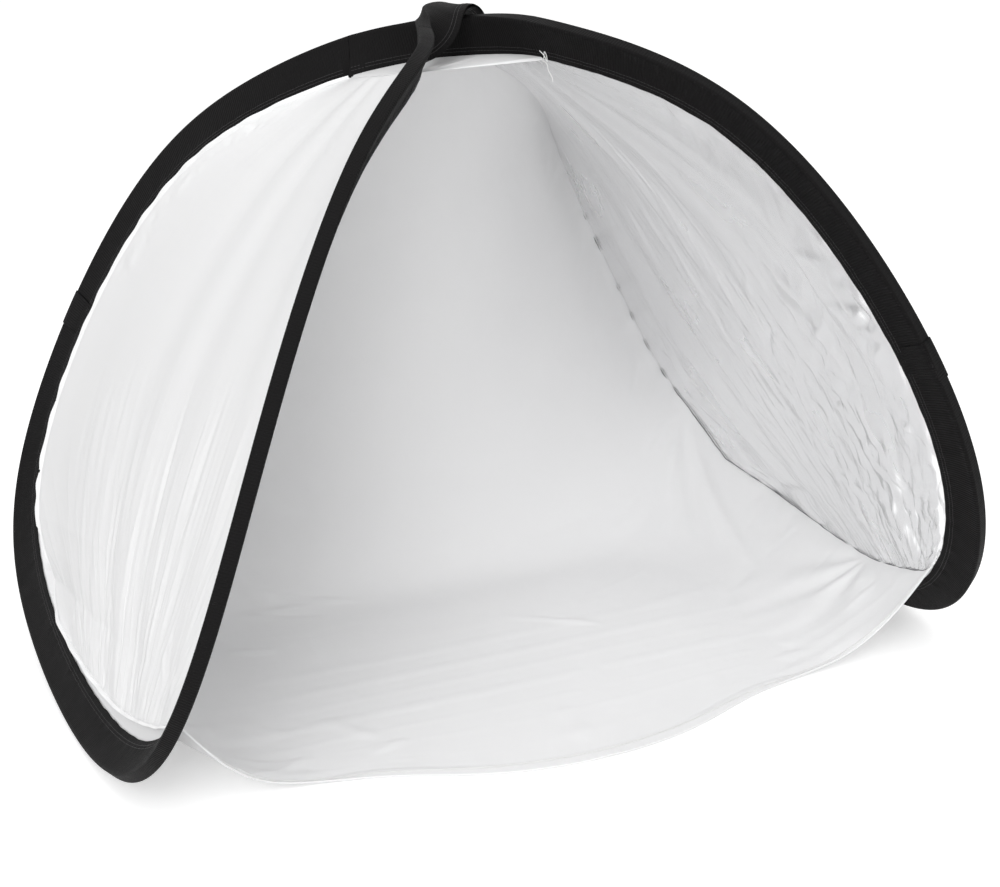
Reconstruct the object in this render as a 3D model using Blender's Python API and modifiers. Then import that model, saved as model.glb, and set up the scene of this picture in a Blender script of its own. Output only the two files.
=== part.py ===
"""Pop-up light tent: one spring-steel hoop, crossed once into a figure of eight and bound in
black webbing, holds two fabric side walls and a white sweep that is both background and floor.

Metres, +Z up, +Y away from the open front, +X to the right. The origin lies on the table,
straight below the point where the hoop crosses itself.
"""

import math

import bmesh
import bpy
import numpy as np

# Hoop: overall reach of the steel's middle line from the origin
HOOP_HEIGHT = 0.470
HALF_WIDTH = 0.323
FRONT_REACH = 0.294
BACK_REACH = 0.248
FOOT_RISE = 0.0042
CROSSING_LIFT = 0.0090
CROSSING_ANGLE = math.radians(45.9)
CROSSING_SLOPE = 0.124

# Spring strip and the crimped sleeve that joins its two lengths
STRIP_WIDTH = 0.006
STRIP_THICKNESS = 0.0008
FERRULE_WALL = 0.0005
FERRULE_HALF_LENGTH = 0.016

# Folded webbing that binds the strip and the fabric's edge
BINDING_DEPTH = 0.025
BINDING_WEB = 0.0011
LAP_WEB = 0.0009
LAP_HALF_LENGTH = 0.014

# Fabric
FABRIC = 0.0007
FABRIC_TUCK = 0.008
SEAM_ALLOWANCE = 0.0025
SEAM_GAP = 0.0012
CREASE_HEIGHT = 0.0012
FLOOR_FOLD_HEIGHT = 0.0045
FLOOR_FOLD_REACH = 0.120
FLOOR_FOLD_WIDTH = 0.030

# Fits
FIT = 0.0003
SPLIT_GAP = 0.0005

# One loop of the hoop, from the crossing down its front strand, round the foot and up its
# rear strand. Each row is (share of half width, share of front or back reach, share of height).
LOOP_SHARES = (
    (0.156, -0.361, 1.010),
    (0.404, -0.684, 0.919),
    (0.666, -0.922, 0.660),
    (0.852, -0.995, 0.350),
    (0.953, -0.789, 0.100),
    (0.994, -0.308, 0.001),
    (0.989, 0.406, 0.048),
    (0.903, 0.915, 0.198),
    (0.714, 0.984, 0.478),
    (0.506, 0.782, 0.739),
    (0.303, 0.382, 0.907),
)
LEAVING_SPEED_SHARE = 0.317

# How the binding leans about the strip, in degrees from facing the loop's hub, round the loop
LEAN_DEGREES = (-20, -20, -20, -18, -16, -20, -6, -8, -6, -9, -13, -18)
HUB_SHARES = (0.625, -0.03, 0.50)

# Places round the loop, as shares of one loop from crossing to crossing
FRONT_NOTCH_SHARE = 0.065
REAR_NOTCH_SHARE = 0.955
HEM_SHARE = 0.405
BACK_FOOT_SHARE = 0.560

# The seam between wall and sweep, drawn away from the binding by the fabric's pull:
# (place round the loop, then the shift inward, to the back and up as shares of the height)
SEAM_PULL_SHARES = (
    (0.405, 0.000, 0.000, 0.000),
    (0.440, 0.000, 0.000, 0.024),
    (0.460, 0.000, 0.000, 0.030),
    (0.500, 0.000, 0.000, 0.026),
    (0.530, 0.000, 0.000, 0.018),
    (0.560, 0.000, 0.000, 0.003),
    (0.590, 0.015, -0.004, -0.008),
    (0.610, 0.006, -0.002, -0.003),
    (0.630, 0.000, 0.000, 0.000),
)

# Front hem of the floor, from the right foot to the middle: shares of half width, of front
# reach and of height. It leaves the binding above the table and comes down to lie on it.
HEM_SHARES = (
    (0.810, -0.755, 0.090),
    (0.687, -0.728, 0.021),
    (0.467, -0.752, 0.000),
    (0.248, -0.850, 0.000),
    (0.000, -0.895, 0.000),
)

# Mesh counts. The two lengths of strip and webbing meet at a row of the front or rear side.
SIDE_ROWS = 19
FRONT_JOIN_ROW = 12
REAR_JOIN_ROW = 9
FOOT_COLUMNS = 12
SWEEP_COLUMNS = 18
CROWN_STEPS = 15
SETTLE_STEPS = 900
BACK_PULL_SHARE = 0.00012
FLOOR_PULL_SHARE = 0.0045
FLOOR_START_SHARES = (0.24, 0.54)
CREASES = 5
CORNER_FOLDS = 4

MIRROR = np.array([-1.0, 1.0, 1.0])


def clean_scene():
    for thing in list(bpy.data.objects):
        bpy.data.objects.remove(thing, do_unlink=True)


def unit(vector):
    return vector / np.linalg.norm(vector)


def ease(share):
    share = min(max(share, 0.0), 1.0)
    return share * share * (3.0 - 2.0 * share)


def spline(points, first_slope, last_slope):
    """A cubic spline through the points, read at a share from 0 to 1."""
    knots = np.array(points, float)
    count = len(knots)
    system = np.eye(count) * 4.0 + np.eye(count, k=1) + np.eye(count, k=-1)
    system[0] = 0.0
    system[-1] = 0.0
    system[0, 0] = 1.0
    system[-1, -1] = 1.0
    right = np.zeros_like(knots)
    right[1:-1] = 3.0 * (knots[2:] - knots[:-2])
    right[0] = first_slope
    right[-1] = last_slope
    slopes = np.linalg.solve(system, right)

    def read(share):
        place = min(max(share, 0.0), 1.0) * (count - 1)
        index = min(int(place), count - 2)
        step = place - index
        square = step * step
        cube = square * step
        return (
            (2 * cube - 3 * square + 1) * knots[index]
            + (cube - 2 * square + step) * slopes[index]
            + (3 * square - 2 * cube) * knots[index + 1]
            + (cube - square) * slopes[index + 1]
        )

    return read


def place_from_shares(shares):
    across, along, up = shares
    reach = FRONT_REACH if along < 0 else BACK_REACH
    height = FOOT_RISE + up * (HOOP_HEIGHT - FOOT_RISE)
    return np.array([across * HALF_WIDTH, along * reach, height])


def leaving_direction(sign):
    """Direction of a strand at the crossing: sign 1 leaves to the front, -1 arrives from behind."""
    return np.array([
        sign * math.sin(CROSSING_ANGLE),
        -math.cos(CROSSING_ANGLE),
        CROSSING_SLOPE,
    ])


CROSSING = np.array([0.0, 0.0, HOOP_HEIGHT])
LEAVING_SPEED = LEAVING_SPEED_SHARE * HOOP_HEIGHT
LOOP = spline(
    [CROSSING] + [place_from_shares(row) for row in LOOP_SHARES] + [CROSSING],
    leaving_direction(1) * LEAVING_SPEED,
    leaving_direction(-1) * LEAVING_SPEED,
)
LEAN = spline([[angle] for angle in LEAN_DEGREES], [0.0], [0.0])
HUB = place_from_shares(HUB_SHARES)
READ_STEP_SHARE = 0.0005


class Lobe:
    """One half of the figure of eight. side is 1 on the right and -1 on the left."""

    def __init__(self, side):
        self.side = side
        self.hand = np.array([float(side), 1.0, 1.0])

    def over(self, share):
        """True where this stretch of the hoop belongs to the strand that crosses on top."""
        return (share > 0.5) == (self.side > 0)

    def crown_share(self, share):
        """1 at the crossing, falling to 0 where the crown ends."""
        if share < 0.5:
            return ease(1.0 - share / FRONT_NOTCH_SHARE)
        return ease(1.0 - (1.0 - share) / (1.0 - REAR_NOTCH_SHARE))

    def point(self, share):
        place = LOOP(share) * self.hand
        if self.over(share):
            place[2] += CROSSING_LIFT * self.crown_share(share)
        return place

    def tangent(self, share):
        ahead = self.point(min(share + READ_STEP_SHARE, 1.0))
        behind = self.point(max(share - READ_STEP_SHARE, 0.0))
        return unit(ahead - behind)

    def inward(self, share):
        """Direction from the strip to the binding's stitched edge."""
        tangent = unit(
            LOOP(min(share + READ_STEP_SHARE, 1.0)) - LOOP(max(share - READ_STEP_SHARE, 0.0))
        )
        toward = HUB - LOOP(share)
        toward = unit(toward - toward.dot(tangent) * tangent)
        lean = math.radians(LEAN(share)[0])
        direction = math.cos(lean) * toward + math.sin(lean) * np.cross(tangent, toward)
        direction = direction * self.hand
        blend = self.crown_share(share)
        if self.over(share):
            goal = leaving_direction(1)
        else:
            goal = np.array([0.0, 0.0, -1.0])
        direction = (1.0 - blend) * direction + blend * unit(goal)
        own = self.tangent(share)
        return unit(direction - direction.dot(own) * own)

    def seam_pull(self, share):
        """How far the fabric draws the seam of sweep and wall away from the binding."""
        places, *shifts = zip(*SEAM_PULL_SHARES)
        inward, back, up = (np.interp(share, places, shift) for shift in shifts)
        return np.array([-inward, back, up]) * self.hand * HOOP_HEIGHT

    def seam(self, share):
        """Where the wall leaves the binding and meets the sweep."""
        edge = self.point(share) + self.inward(share) * (BINDING_DEPTH + SEAM_ALLOWANCE)
        return edge + self.seam_pull(share)


LEFT = Lobe(-1)
RIGHT = Lobe(1)


class Station:
    """A place on the hoop with the three directions that its sections are drawn in."""

    def __init__(self, lobe, share):
        self.share = share
        self.origin = lobe.point(share)
        self.along = lobe.tangent(share)
        self.inward = lobe.inward(share)
        self.across = np.cross(self.along, self.inward)
        self.plane = None

    def cut(self, point, normal, offset):
        self.plane = (point, normal, offset)

    def ring(self, section):
        points = []
        for depth, side in section:
            place = self.origin + self.inward * depth + self.across * side
            if self.plane is not None:
                point, normal, offset = self.plane
                slide = (offset - (place - point).dot(normal)) / self.along.dot(normal)
                place = place + self.along * slide
            place[2] = max(place[2], 0.0)
            points.append(place)
        return points


def notch_point(lobe, share):
    return lobe.point(share) + lobe.inward(share) * (BINDING_DEPTH + SEAM_ALLOWANCE)


def hinge_line(lobe):
    """The crown's side edge, between the notches: the line that this side of the hoop folds on."""
    front = notch_point(lobe, FRONT_NOTCH_SHARE)
    rear = notch_point(lobe, REAR_NOTCH_SHARE)
    return front, rear, unit(front - rear)


def lobe_shares():
    """Shares of the stations round one lobe, from the front notch to the rear notch."""
    front = np.linspace(FRONT_NOTCH_SHARE, HEM_SHARE, SIDE_ROWS + 1)
    foot = np.linspace(HEM_SHARE, BACK_FOOT_SHARE, FOOT_COLUMNS + 1)
    rear = np.linspace(BACK_FOOT_SHARE, REAR_NOTCH_SHARE, SIDE_ROWS + 1)
    return list(front) + list(foot[1:]) + list(rear[1:])


def square_end(stations, point, normal, offset):
    """Cut the first station square to the normal. The next ones that reach past it are dropped."""
    first = stations[0]
    first.cut(point, normal, offset)
    side = math.copysign(1.0, offset)
    kept = stations[1:]
    while len(kept) > 1:
        reach = [side * (place - point).dot(normal) for place in kept[0].ring(binding_section())]
        if min(reach) > 2 * abs(offset):
            break
        kept = kept[1:]
    return [first] + kept


def lobe_stations(lobe, join):
    """Stations of the two lengths on either side of the join, with their ends cut square."""
    front, rear, axis = hinge_line(lobe)
    shares = lobe_shares()
    first = [Station(lobe, share) for share in shares[: join + 1]]
    second = [Station(lobe, share) for share in shares[join:]]
    middle = Station(lobe, shares[join])
    first[-1].cut(middle.origin, middle.along, -SPLIT_GAP / 2)
    second[0].cut(middle.origin, middle.along, SPLIT_GAP / 2)
    first = square_end(first, front, axis, SPLIT_GAP / 2)
    second = square_end(second[::-1], rear, axis, -SPLIT_GAP / 2)[::-1]
    return first, second


def sleeve_stations(lobe, join, steps):
    """Three stations of a short sleeve that lies along the straight runs beside the join."""
    shares = lobe_shares()
    index = shares.index(join)
    middle = Station(lobe, join)
    stations = []
    for neighbour in (index - 1, index + 1):
        other = Station(lobe, shares[neighbour])
        end = Station(lobe, join)
        end.origin = middle.origin + (other.origin - middle.origin) * steps
        end.inward = unit(middle.inward + (other.inward - middle.inward) * steps)
        end.across = unit(middle.across + (other.across - middle.across) * steps)
        stations.append(end)
    return [stations[0], middle, stations[1]]


def crown_run(lobe_in, lobe_out):
    """Stations of the strand that comes up lobe_in's rear side and goes down lobe_out's front."""
    rear = np.linspace(REAR_NOTCH_SHARE, 1.0, CROWN_STEPS + 1)
    front = np.linspace(0.0, FRONT_NOTCH_SHARE, CROWN_STEPS + 1)
    stations = [Station(lobe_in, share) for share in rear]
    return stations + [Station(lobe_out, share) for share in front[1:]]


def crown_stations(lobe_in, lobe_out):
    """The crown's run, cut square to the fold line of each side at its two ends."""
    _, rear_point, rear_axis = hinge_line(lobe_in)
    front_point, _, front_axis = hinge_line(lobe_out)
    run = square_end(crown_run(lobe_in, lobe_out), rear_point, rear_axis, SPLIT_GAP / 2)
    return square_end(run[::-1], front_point, front_axis, -SPLIT_GAP / 2)[::-1]


def strip_section():
    half_width = STRIP_WIDTH / 2
    half_thickness = STRIP_THICKNESS / 2
    return [
        (-half_thickness, -half_width),
        (half_thickness, -half_width),
        (half_thickness, half_width),
        (-half_thickness, half_width),
    ]


def rim_half_width():
    """Half the width of the ferrule, the widest thing that the binding goes round."""
    return STRIP_WIDTH / 2 + FIT + FERRULE_WALL


def binding_inner_section():
    """The open side of the fold, from the stitched edge round the strip and back."""
    half = rim_half_width() + FIT
    mouth = FABRIC / 2 + FIT
    nose = -(STRIP_THICKNESS / 2 + FERRULE_WALL + 2 * FIT)
    waist = BINDING_DEPTH - FABRIC_TUCK
    tip = BINDING_DEPTH
    return [
        (tip, -mouth),
        (waist, -mouth),
        (-nose, -half),
        (nose, -half),
        (nose, half),
        (-nose, half),
        (waist, mouth),
        (tip, mouth),
    ]


def grown(section, growth):
    """The binding's outer line: the fold moved out sideways and over the nose."""
    result = []
    for depth, side in section:
        outward = side + math.copysign(growth, side)
        result.append((min(depth, depth - growth) if depth < 0 else depth, outward))
    return result


def binding_section():
    inner = binding_inner_section()
    return grown(inner, BINDING_WEB) + inner[::-1]


def lap_section():
    """The short piece of webbing folded over the place where the binding's two ends meet."""
    inner = grown(binding_inner_section(), BINDING_WEB + FIT)
    return grown(inner, LAP_WEB) + inner[::-1]


def ferrule_section():
    """A flat sleeve pinched round the strip, open along one face where its edges meet."""
    half_width = STRIP_WIDTH / 2 + FIT
    half_thickness = STRIP_THICKNESS / 2 + FIT
    inner = [
        (half_thickness, FIT),
        (half_thickness, half_width),
        (-half_thickness, half_width),
        (-half_thickness, -half_width),
        (half_thickness, -half_width),
        (half_thickness, -FIT),
    ]
    outer = []
    for depth, side in inner:
        spread = side if abs(side) <= FIT else side + math.copysign(FERRULE_WALL, side)
        outer.append((depth + math.copysign(FERRULE_WALL, depth), spread))
    return outer + inner[::-1]


def material(name, colour, roughness, metallic=0.0):
    result = bpy.data.materials.new(name)
    result.use_nodes = True
    shader = result.node_tree.nodes["Principled BSDF"]
    shader.inputs["Base Color"].default_value = (*colour, 1.0)
    shader.inputs["Roughness"].default_value = roughness
    shader.inputs["Metallic"].default_value = metallic
    return result


def collection(name):
    result = bpy.data.collections.new(name)
    bpy.context.scene.collection.children.link(result)
    return result


def add_object(name, mesh, look, parent):
    """An object whose own origin is its parent empty's place, so that it turns about the joint."""
    mesh.materials.append(material(name + "_look", *look))
    thing = bpy.data.objects.new(name, mesh)
    PARTS.objects.link(thing)
    if parent is not None:
        mesh.transform(parent.matrix_world.inverted())
        thing.parent = parent
    return thing


def tidy_mesh(name, shape):
    bmesh.ops.remove_doubles(shape, verts=shape.verts[:], dist=1e-6)
    bmesh.ops.recalc_face_normals(shape, faces=shape.faces[:])
    if all(edge.is_manifold for edge in shape.edges) and shape.calc_volume(signed=True) < 0:
        bmesh.ops.reverse_faces(shape, faces=shape.faces[:])
    mesh = bpy.data.meshes.new(name)
    shape.to_mesh(mesh)
    shape.free()
    mesh.shade_smooth()
    mesh.set_sharp_from_angle(angle=math.radians(30.0))
    return mesh


def loft(name, stations, section, look, parent):
    """A solid drawn along stations whose directions turn, closed at both ends."""
    shape = bmesh.new()
    rings = []
    for station in stations:
        rings.append([shape.verts.new(place) for place in station.ring(section)])
    count = len(section)
    for near, far in zip(rings[:-1], rings[1:]):
        for index in range(count):
            after = (index + 1) % count
            shape.faces.new((near[index], near[after], far[after], far[index]))
    shape.faces.new(rings[0][::-1])
    shape.faces.new(rings[-1])
    return add_object(name, tidy_mesh(name, shape), look, parent)


def sheet_solid(name, grids, look, parent):
    """Fabric: one or more grids of points that share their edges, thickened about the middle."""
    shape = bmesh.new()
    for grid in grids:
        verts = [[shape.verts.new(place) for place in row] for row in grid]
        for upper, lower in zip(verts[:-1], verts[1:]):
            for index in range(len(upper) - 1):
                shape.faces.new((upper[index], upper[index + 1], lower[index + 1], lower[index]))
    mesh = tidy_mesh(name, shape)
    thing = add_object(name, mesh, look, parent)
    thickness = thing.modifiers.new("Thickness", "SOLIDIFY")
    thickness.thickness = FABRIC
    thickness.offset = 0.0
    thickness.use_even_offset = False
    return thing


def patch(top, bottom, left, right):
    """A grid of points inside four edges, each edge a list of points (Coons patch)."""
    top, bottom, left, right = (np.array(edge) for edge in (top, bottom, left, right))
    rows = len(left)
    columns = len(top)
    down = np.linspace(0.0, 1.0, rows)[:, None, None]
    over = np.linspace(0.0, 1.0, columns)[None, :, None]
    ruled = (1 - over) * left[:, None] + over * right[:, None]
    ruled = ruled + (1 - down) * top[None] + down * bottom[None]
    corners = (1 - down) * ((1 - over) * top[0] + over * top[-1])
    corners = corners + down * ((1 - over) * bottom[0] + over * bottom[-1])
    return ruled - corners


def settle(grid, steps, row_weights=0.0, floor=None):
    """Draw the inside of a grid taut, as tensioned fabric lies, and rest it on the floor."""
    grid = grid.copy()
    for _ in range(steps):
        middle = grid[:-2, 1:-1] + grid[2:, 1:-1] + grid[1:-1, :-2] + grid[1:-1, 2:]
        grid[1:-1, 1:-1] = middle / 4.0
        grid[1:-1, 1:-1, 2] -= row_weights
        if floor is not None:
            grid[1:-1, 1:-1, 2] = np.maximum(grid[1:-1, 1:-1, 2], floor)
    return grid


def normals(grid):
    down = np.gradient(grid, axis=0)
    over = np.gradient(grid, axis=1)
    cross = np.cross(down, over)
    return cross / np.maximum(np.linalg.norm(cross, axis=2, keepdims=True), 1e-12)


def line(first, last, count):
    """A straight edge."""
    return [first * (1 - share) + last * share for share in np.linspace(0.0, 1.0, count)]


def wall_grid(lobe):
    """The wall's visible field, from the crown's edge down to the foot."""
    shares = lobe_shares()
    seam = [lobe.seam(share) for share in shares]
    left = seam[: SIDE_ROWS + 1]
    foot = seam[SIDE_ROWS : SIDE_ROWS + FOOT_COLUMNS + 1]
    right = seam[SIDE_ROWS + FOOT_COLUMNS :][::-1]
    top = line(left[0], right[0], FOOT_COLUMNS + 1)
    grid = settle(patch(top, foot, left, right), SETTLE_STEPS)
    rows, columns, _ = grid.shape
    down = np.linspace(0.0, 1.0, rows)[:, None]
    over = np.linspace(0.0, 1.0, columns)[None, :]
    inside = np.sin(np.pi * down) * np.sin(np.pi * over)
    waves = np.sin(2 * np.pi * CREASES * (over + down / CREASES)) * CREASE_HEIGHT * inside
    return grid + normals(grid) * waves[..., None]


def tucked_strip(lobe):
    """The wall's margin: from the seam line into the fold of the binding, all the way round."""
    front, rear, axis = hinge_line(lobe)
    stations = [Station(lobe, share) for share in lobe_shares()]
    stations[0].cut(front, axis, SPLIT_GAP / 2)
    stations[-1].cut(rear, axis, -SPLIT_GAP / 2)
    tucked = BINDING_DEPTH - FABRIC_TUCK + FIT
    allowance = BINDING_DEPTH + SEAM_ALLOWANCE
    rows = []
    for station in stations:
        row = station.ring([(tucked, 0.0), (BINDING_DEPTH, 0.0), (allowance, 0.0)])
        rows.append(row + [row[-1] + lobe.seam_pull(station.share)])
    return np.array(rows)


def wall(lobe, name, look, parent):
    """One side wall: its field and its tucked margin are one piece of fabric."""
    strip = tucked_strip(lobe)
    grid = wall_grid(lobe)
    edge = strip[:, -1]
    grid[:, 0] = edge[: SIDE_ROWS + 1]
    grid[-1, :] = edge[SIDE_ROWS : SIDE_ROWS + FOOT_COLUMNS + 1]
    grid[:, -1] = edge[SIDE_ROWS + FOOT_COLUMNS :][::-1]
    return sheet_solid(name, [grid, strip], look, parent)


def hem_line():
    """The floor's free front edge, from the left foot to the right foot."""
    half = [RIGHT.seam(HEM_SHARE)]
    for across, along, up in HEM_SHARES:
        height = max(up * HOOP_HEIGHT, FABRIC / 2)
        half.append(np.array([across * HALF_WIDTH, along * FRONT_REACH, height]))
    knots = [place * MIRROR for place in half] + half[-2::-1]
    read = spline(knots, knots[1] - knots[0], knots[-1] - knots[-2])
    points = [read(share) for share in np.linspace(0.0, 1.0, SWEEP_COLUMNS + 1)]
    for place in points:
        place[2] = max(place[2], FABRIC / 2)
    return points


def floor_folds(grid):
    """Soft folds that run out of each foot across the floor."""
    lift = np.zeros(grid.shape[:2])
    for lobe in (LEFT, RIGHT):
        corner = lobe.seam((HEM_SHARE + BACK_FOOT_SHARE) / 2)
        offset = grid[..., :2] - corner[:2]
        away = np.linalg.norm(offset, axis=2)
        turn = np.arctan2(offset[..., 1], -lobe.side * offset[..., 0])
        near = np.clip(1.0 - away / FLOOR_FOLD_REACH, 0.0, 1.0)
        edge = np.clip(away / FLOOR_FOLD_WIDTH, 0.0, 1.0)
        waves = 0.5 + 0.5 * np.cos(turn * 2 * CORNER_FOLDS)
        lift = lift + FLOOR_FOLD_HEIGHT * waves * near * edge
    lift[0] = 0.0
    lift[-1] = 0.0
    lift[:, 0] = 0.0
    lift[:, -1] = 0.0
    result = grid.copy()
    result[..., 2] += lift
    return result


def sweep_grid():
    """Background and floor in one length, from the crown's rear edge to the front hem."""
    shares = lobe_shares()[SIDE_ROWS:][::-1]
    right = [RIGHT.seam(share) for share in shares]
    left = [LEFT.seam(share) for share in shares]
    top = line(left[0], right[0], SWEEP_COLUMNS + 1)
    grid = patch(top, hem_line(), left, right)
    start, full = FLOOR_START_SHARES
    weights = []
    for row in range(1, len(grid) - 1):
        flat = ease((row / (len(grid) - 1) - start) / (full - start))
        weights.append((1 - flat) * BACK_PULL_SHARE + flat * FLOOR_PULL_SHARE)
    weights = np.array(weights)[:, None] * HOOP_HEIGHT
    grid = settle(grid, SETTLE_STEPS, weights, FABRIC / 2)
    grid = floor_folds(grid)
    for edge, neighbour in ((0, 1), (-1, -2)):
        inner = grid[:, neighbour] - grid[:, edge]
        inner = inner / np.linalg.norm(inner, axis=1, keepdims=True)
        grid[:, edge] = grid[:, edge] + inner * SEAM_GAP
    grid[0, 1:-1] += unit(grid[1, SWEEP_COLUMNS // 2] - grid[0, SWEEP_COLUMNS // 2]) * SEAM_GAP
    grid[..., 2] = np.maximum(grid[..., 2], FABRIC / 2)
    return grid


def crown_corner(lobe, share, middle):
    """A corner of the gusset: the notch, drawn back a little towards the crossing."""
    corner = notch_point(lobe, share)
    return corner + unit(middle - corner) * SEAM_GAP


def crown_grids():
    """The gusset under the crossing: two triangles on either side of the lower strand."""
    stations = crown_run(LEFT, RIGHT)
    depth = BINDING_DEPTH + FABRIC + FIT
    ridge = [station.origin + station.inward * depth for station in stations]
    middle = ridge[len(ridge) // 2]
    ridge[0] = crown_corner(LEFT, REAR_NOTCH_SHARE, middle)
    ridge[-1] = crown_corner(RIGHT, FRONT_NOTCH_SHARE, middle)
    tips = (
        crown_corner(LEFT, FRONT_NOTCH_SHARE, middle),
        crown_corner(RIGHT, REAR_NOTCH_SHARE, middle),
    )
    grids = []
    for tip in tips:
        shares = np.linspace(0.0, 1.0, CROWN_STEPS // 2)
        rows = [[place * (1 - share) + tip * share for place in ridge] for share in shares]
        grids.append(np.array(rows))
    return grids


BLACK_WEB = ((0.013, 0.012, 0.012), 0.75)
STEEL = ((0.42, 0.42, 0.43), 0.35, 1.0)
BRASS = ((0.60, 0.52, 0.36), 0.40, 1.0)
WHITE_CLOTH = ((0.86, 0.86, 0.87), 0.80)
SILVER_CLOTH = ((0.72, 0.72, 0.74), 0.30, 0.60)


def build_lobe(lobe, side_name, join, wall_look):
    """Everything that swings with one side of the hoop."""
    front, rear, _ = hinge_line(lobe)
    pivot = bpy.data.objects.new(side_name + "_pivot", None)
    pivot.location = (front + rear) / 2
    PARTS.objects.link(pivot)
    bpy.context.view_layer.update()
    for name, stations in zip(("front", "rear"), lobe_stations(lobe, join)):
        loft(f"{side_name}_strip_{name}", stations, strip_section(), STEEL, pivot)
        loft(f"{side_name}_binding_{name}", stations, binding_section(), BLACK_WEB, pivot)
    shares = lobe_shares()
    step = np.linalg.norm(lobe.point(shares[join + 1]) - lobe.point(shares[join]))
    for name, section, reach, look in (
        ("ferrule", ferrule_section(), FERRULE_HALF_LENGTH, BRASS),
        ("binding_lap", lap_section(), LAP_HALF_LENGTH, BLACK_WEB),
    ):
        stations = sleeve_stations(lobe, shares[join], reach / step)
        loft(f"{side_name}_{name}", stations, section, look, pivot)
    wall(lobe, side_name + "_wall", wall_look, pivot)
    return pivot


def build_crown():
    for name, lobe_in, lobe_out in (("under", LEFT, RIGHT), ("over", RIGHT, LEFT)):
        stations = crown_stations(lobe_in, lobe_out)
        loft("crown_strip_" + name, stations, strip_section(), STEEL, None)
        loft("crown_binding_" + name, stations, binding_section(), BLACK_WEB, None)
    sheet_solid("crown_gusset", crown_grids(), WHITE_CLOTH, None)


def main():
    build_crown()
    sheet_solid("sweep", [sweep_grid()], WHITE_CLOTH, None)
    build_lobe(RIGHT, "right", FRONT_JOIN_ROW, SILVER_CLOTH)
    build_lobe(LEFT, "left", SIDE_ROWS + FOOT_COLUMNS + REAR_JOIN_ROW, WHITE_CLOTH)


clean_scene()
PARTS = collection("light_tent_cube")
main()
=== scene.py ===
# %% [markdown]
# # A pop-up light tent
#
# A light tent is a small fabric studio. One springy steel hoop is crossed once into a figure of
# eight, and the cloth sewn into it makes a room with an open front: a white sweep that is both
# background and floor, a thin white wall and a silver wall. This file dresses the exact model of
# the tent. It rebuilds each cloth piece finely enough to show its folds, and gives every piece a
# material made of nodes.

import math

import bmesh
import bpy
import numpy as np
from mathutils import Matrix, Vector


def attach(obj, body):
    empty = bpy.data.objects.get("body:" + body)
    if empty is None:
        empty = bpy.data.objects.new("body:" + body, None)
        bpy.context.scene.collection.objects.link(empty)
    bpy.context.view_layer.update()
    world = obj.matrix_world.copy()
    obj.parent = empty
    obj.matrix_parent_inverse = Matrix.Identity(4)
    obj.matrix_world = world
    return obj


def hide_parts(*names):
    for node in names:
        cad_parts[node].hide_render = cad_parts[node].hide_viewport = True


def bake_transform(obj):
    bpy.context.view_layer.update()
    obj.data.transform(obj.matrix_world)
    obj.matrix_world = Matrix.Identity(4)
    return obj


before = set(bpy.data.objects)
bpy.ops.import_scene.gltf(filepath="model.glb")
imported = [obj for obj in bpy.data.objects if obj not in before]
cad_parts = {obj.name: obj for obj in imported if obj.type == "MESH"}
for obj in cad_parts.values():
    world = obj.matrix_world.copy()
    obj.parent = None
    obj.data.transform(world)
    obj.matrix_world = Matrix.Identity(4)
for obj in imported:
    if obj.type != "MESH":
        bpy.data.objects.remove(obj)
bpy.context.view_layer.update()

# %% [markdown]
# ## The camera
#
# The picture was taken from the front left and a little above. A long lens flattens the hoop's
# two loops in the same way as in the picture, so the lens matters as much as the place. The
# camera is turned about the vertical first, then tipped down, then rolled a degree and a half.

# %% Camera
CAMERA_PLACE = Vector((-0.5672, -1.4761, 0.7234))
CAMERA_TURN = math.radians(22.300)
CAMERA_TIP = math.radians(20.100)
CAMERA_ROLL = math.radians(-1.600)
LENS_MM = 78.515
SENSOR_MM = 36.0

level = Matrix.Rotation(-CAMERA_TURN, 4, "Z") @ Matrix.Rotation(math.radians(90.0), 4, "X")
tipped = level @ Matrix.Rotation(-CAMERA_TIP, 4, "X")
camera_data = bpy.data.cameras.new("camera")
camera_data.lens = LENS_MM
camera_data.sensor_width = SENSOR_MM
camera_data.clip_start = 0.05
camera = bpy.data.objects.new("camera", camera_data)
camera.matrix_world = Matrix.Translation(CAMERA_PLACE) @ tipped @ Matrix.Rotation(CAMERA_ROLL, 4, "Z")
bpy.context.scene.collection.objects.link(camera)
bpy.context.scene.camera = camera
bpy.context.scene.view_settings.view_transform = "Standard"
print("camera looks along", [round(v, 3) for v in camera.matrix_world.to_3x3() @ Vector((0, 0, -1))])

# %% [markdown]
# ## The hoop's line
#
# Everything is sewn to the hoop, so its line comes first. One loop is described from the crossing,
# down the front strand, round the foot and up the rear strand. A cubic spline gives a line that
# bends smoothly everywhere, as steel does. The other loop is its mirror image.

# %% Sizes of the hoop and of what is sewn to it, in metres
HOOP_HEIGHT = 0.470
HALF_WIDTH = 0.323
FRONT_REACH = 0.294
BACK_REACH = 0.248
FOOT_RISE = 0.0042
CROSSING_LIFT = 0.0090
CROSSING_ANGLE = math.radians(45.9)
CROSSING_SLOPE = 0.124
LEAVING_SPEED = 0.317 * HOOP_HEIGHT
BINDING_DEPTH = 0.025
SEAM_ALLOWANCE = 0.0025
FABRIC = 0.0005
FABRIC_TUCK = 0.008

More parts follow.
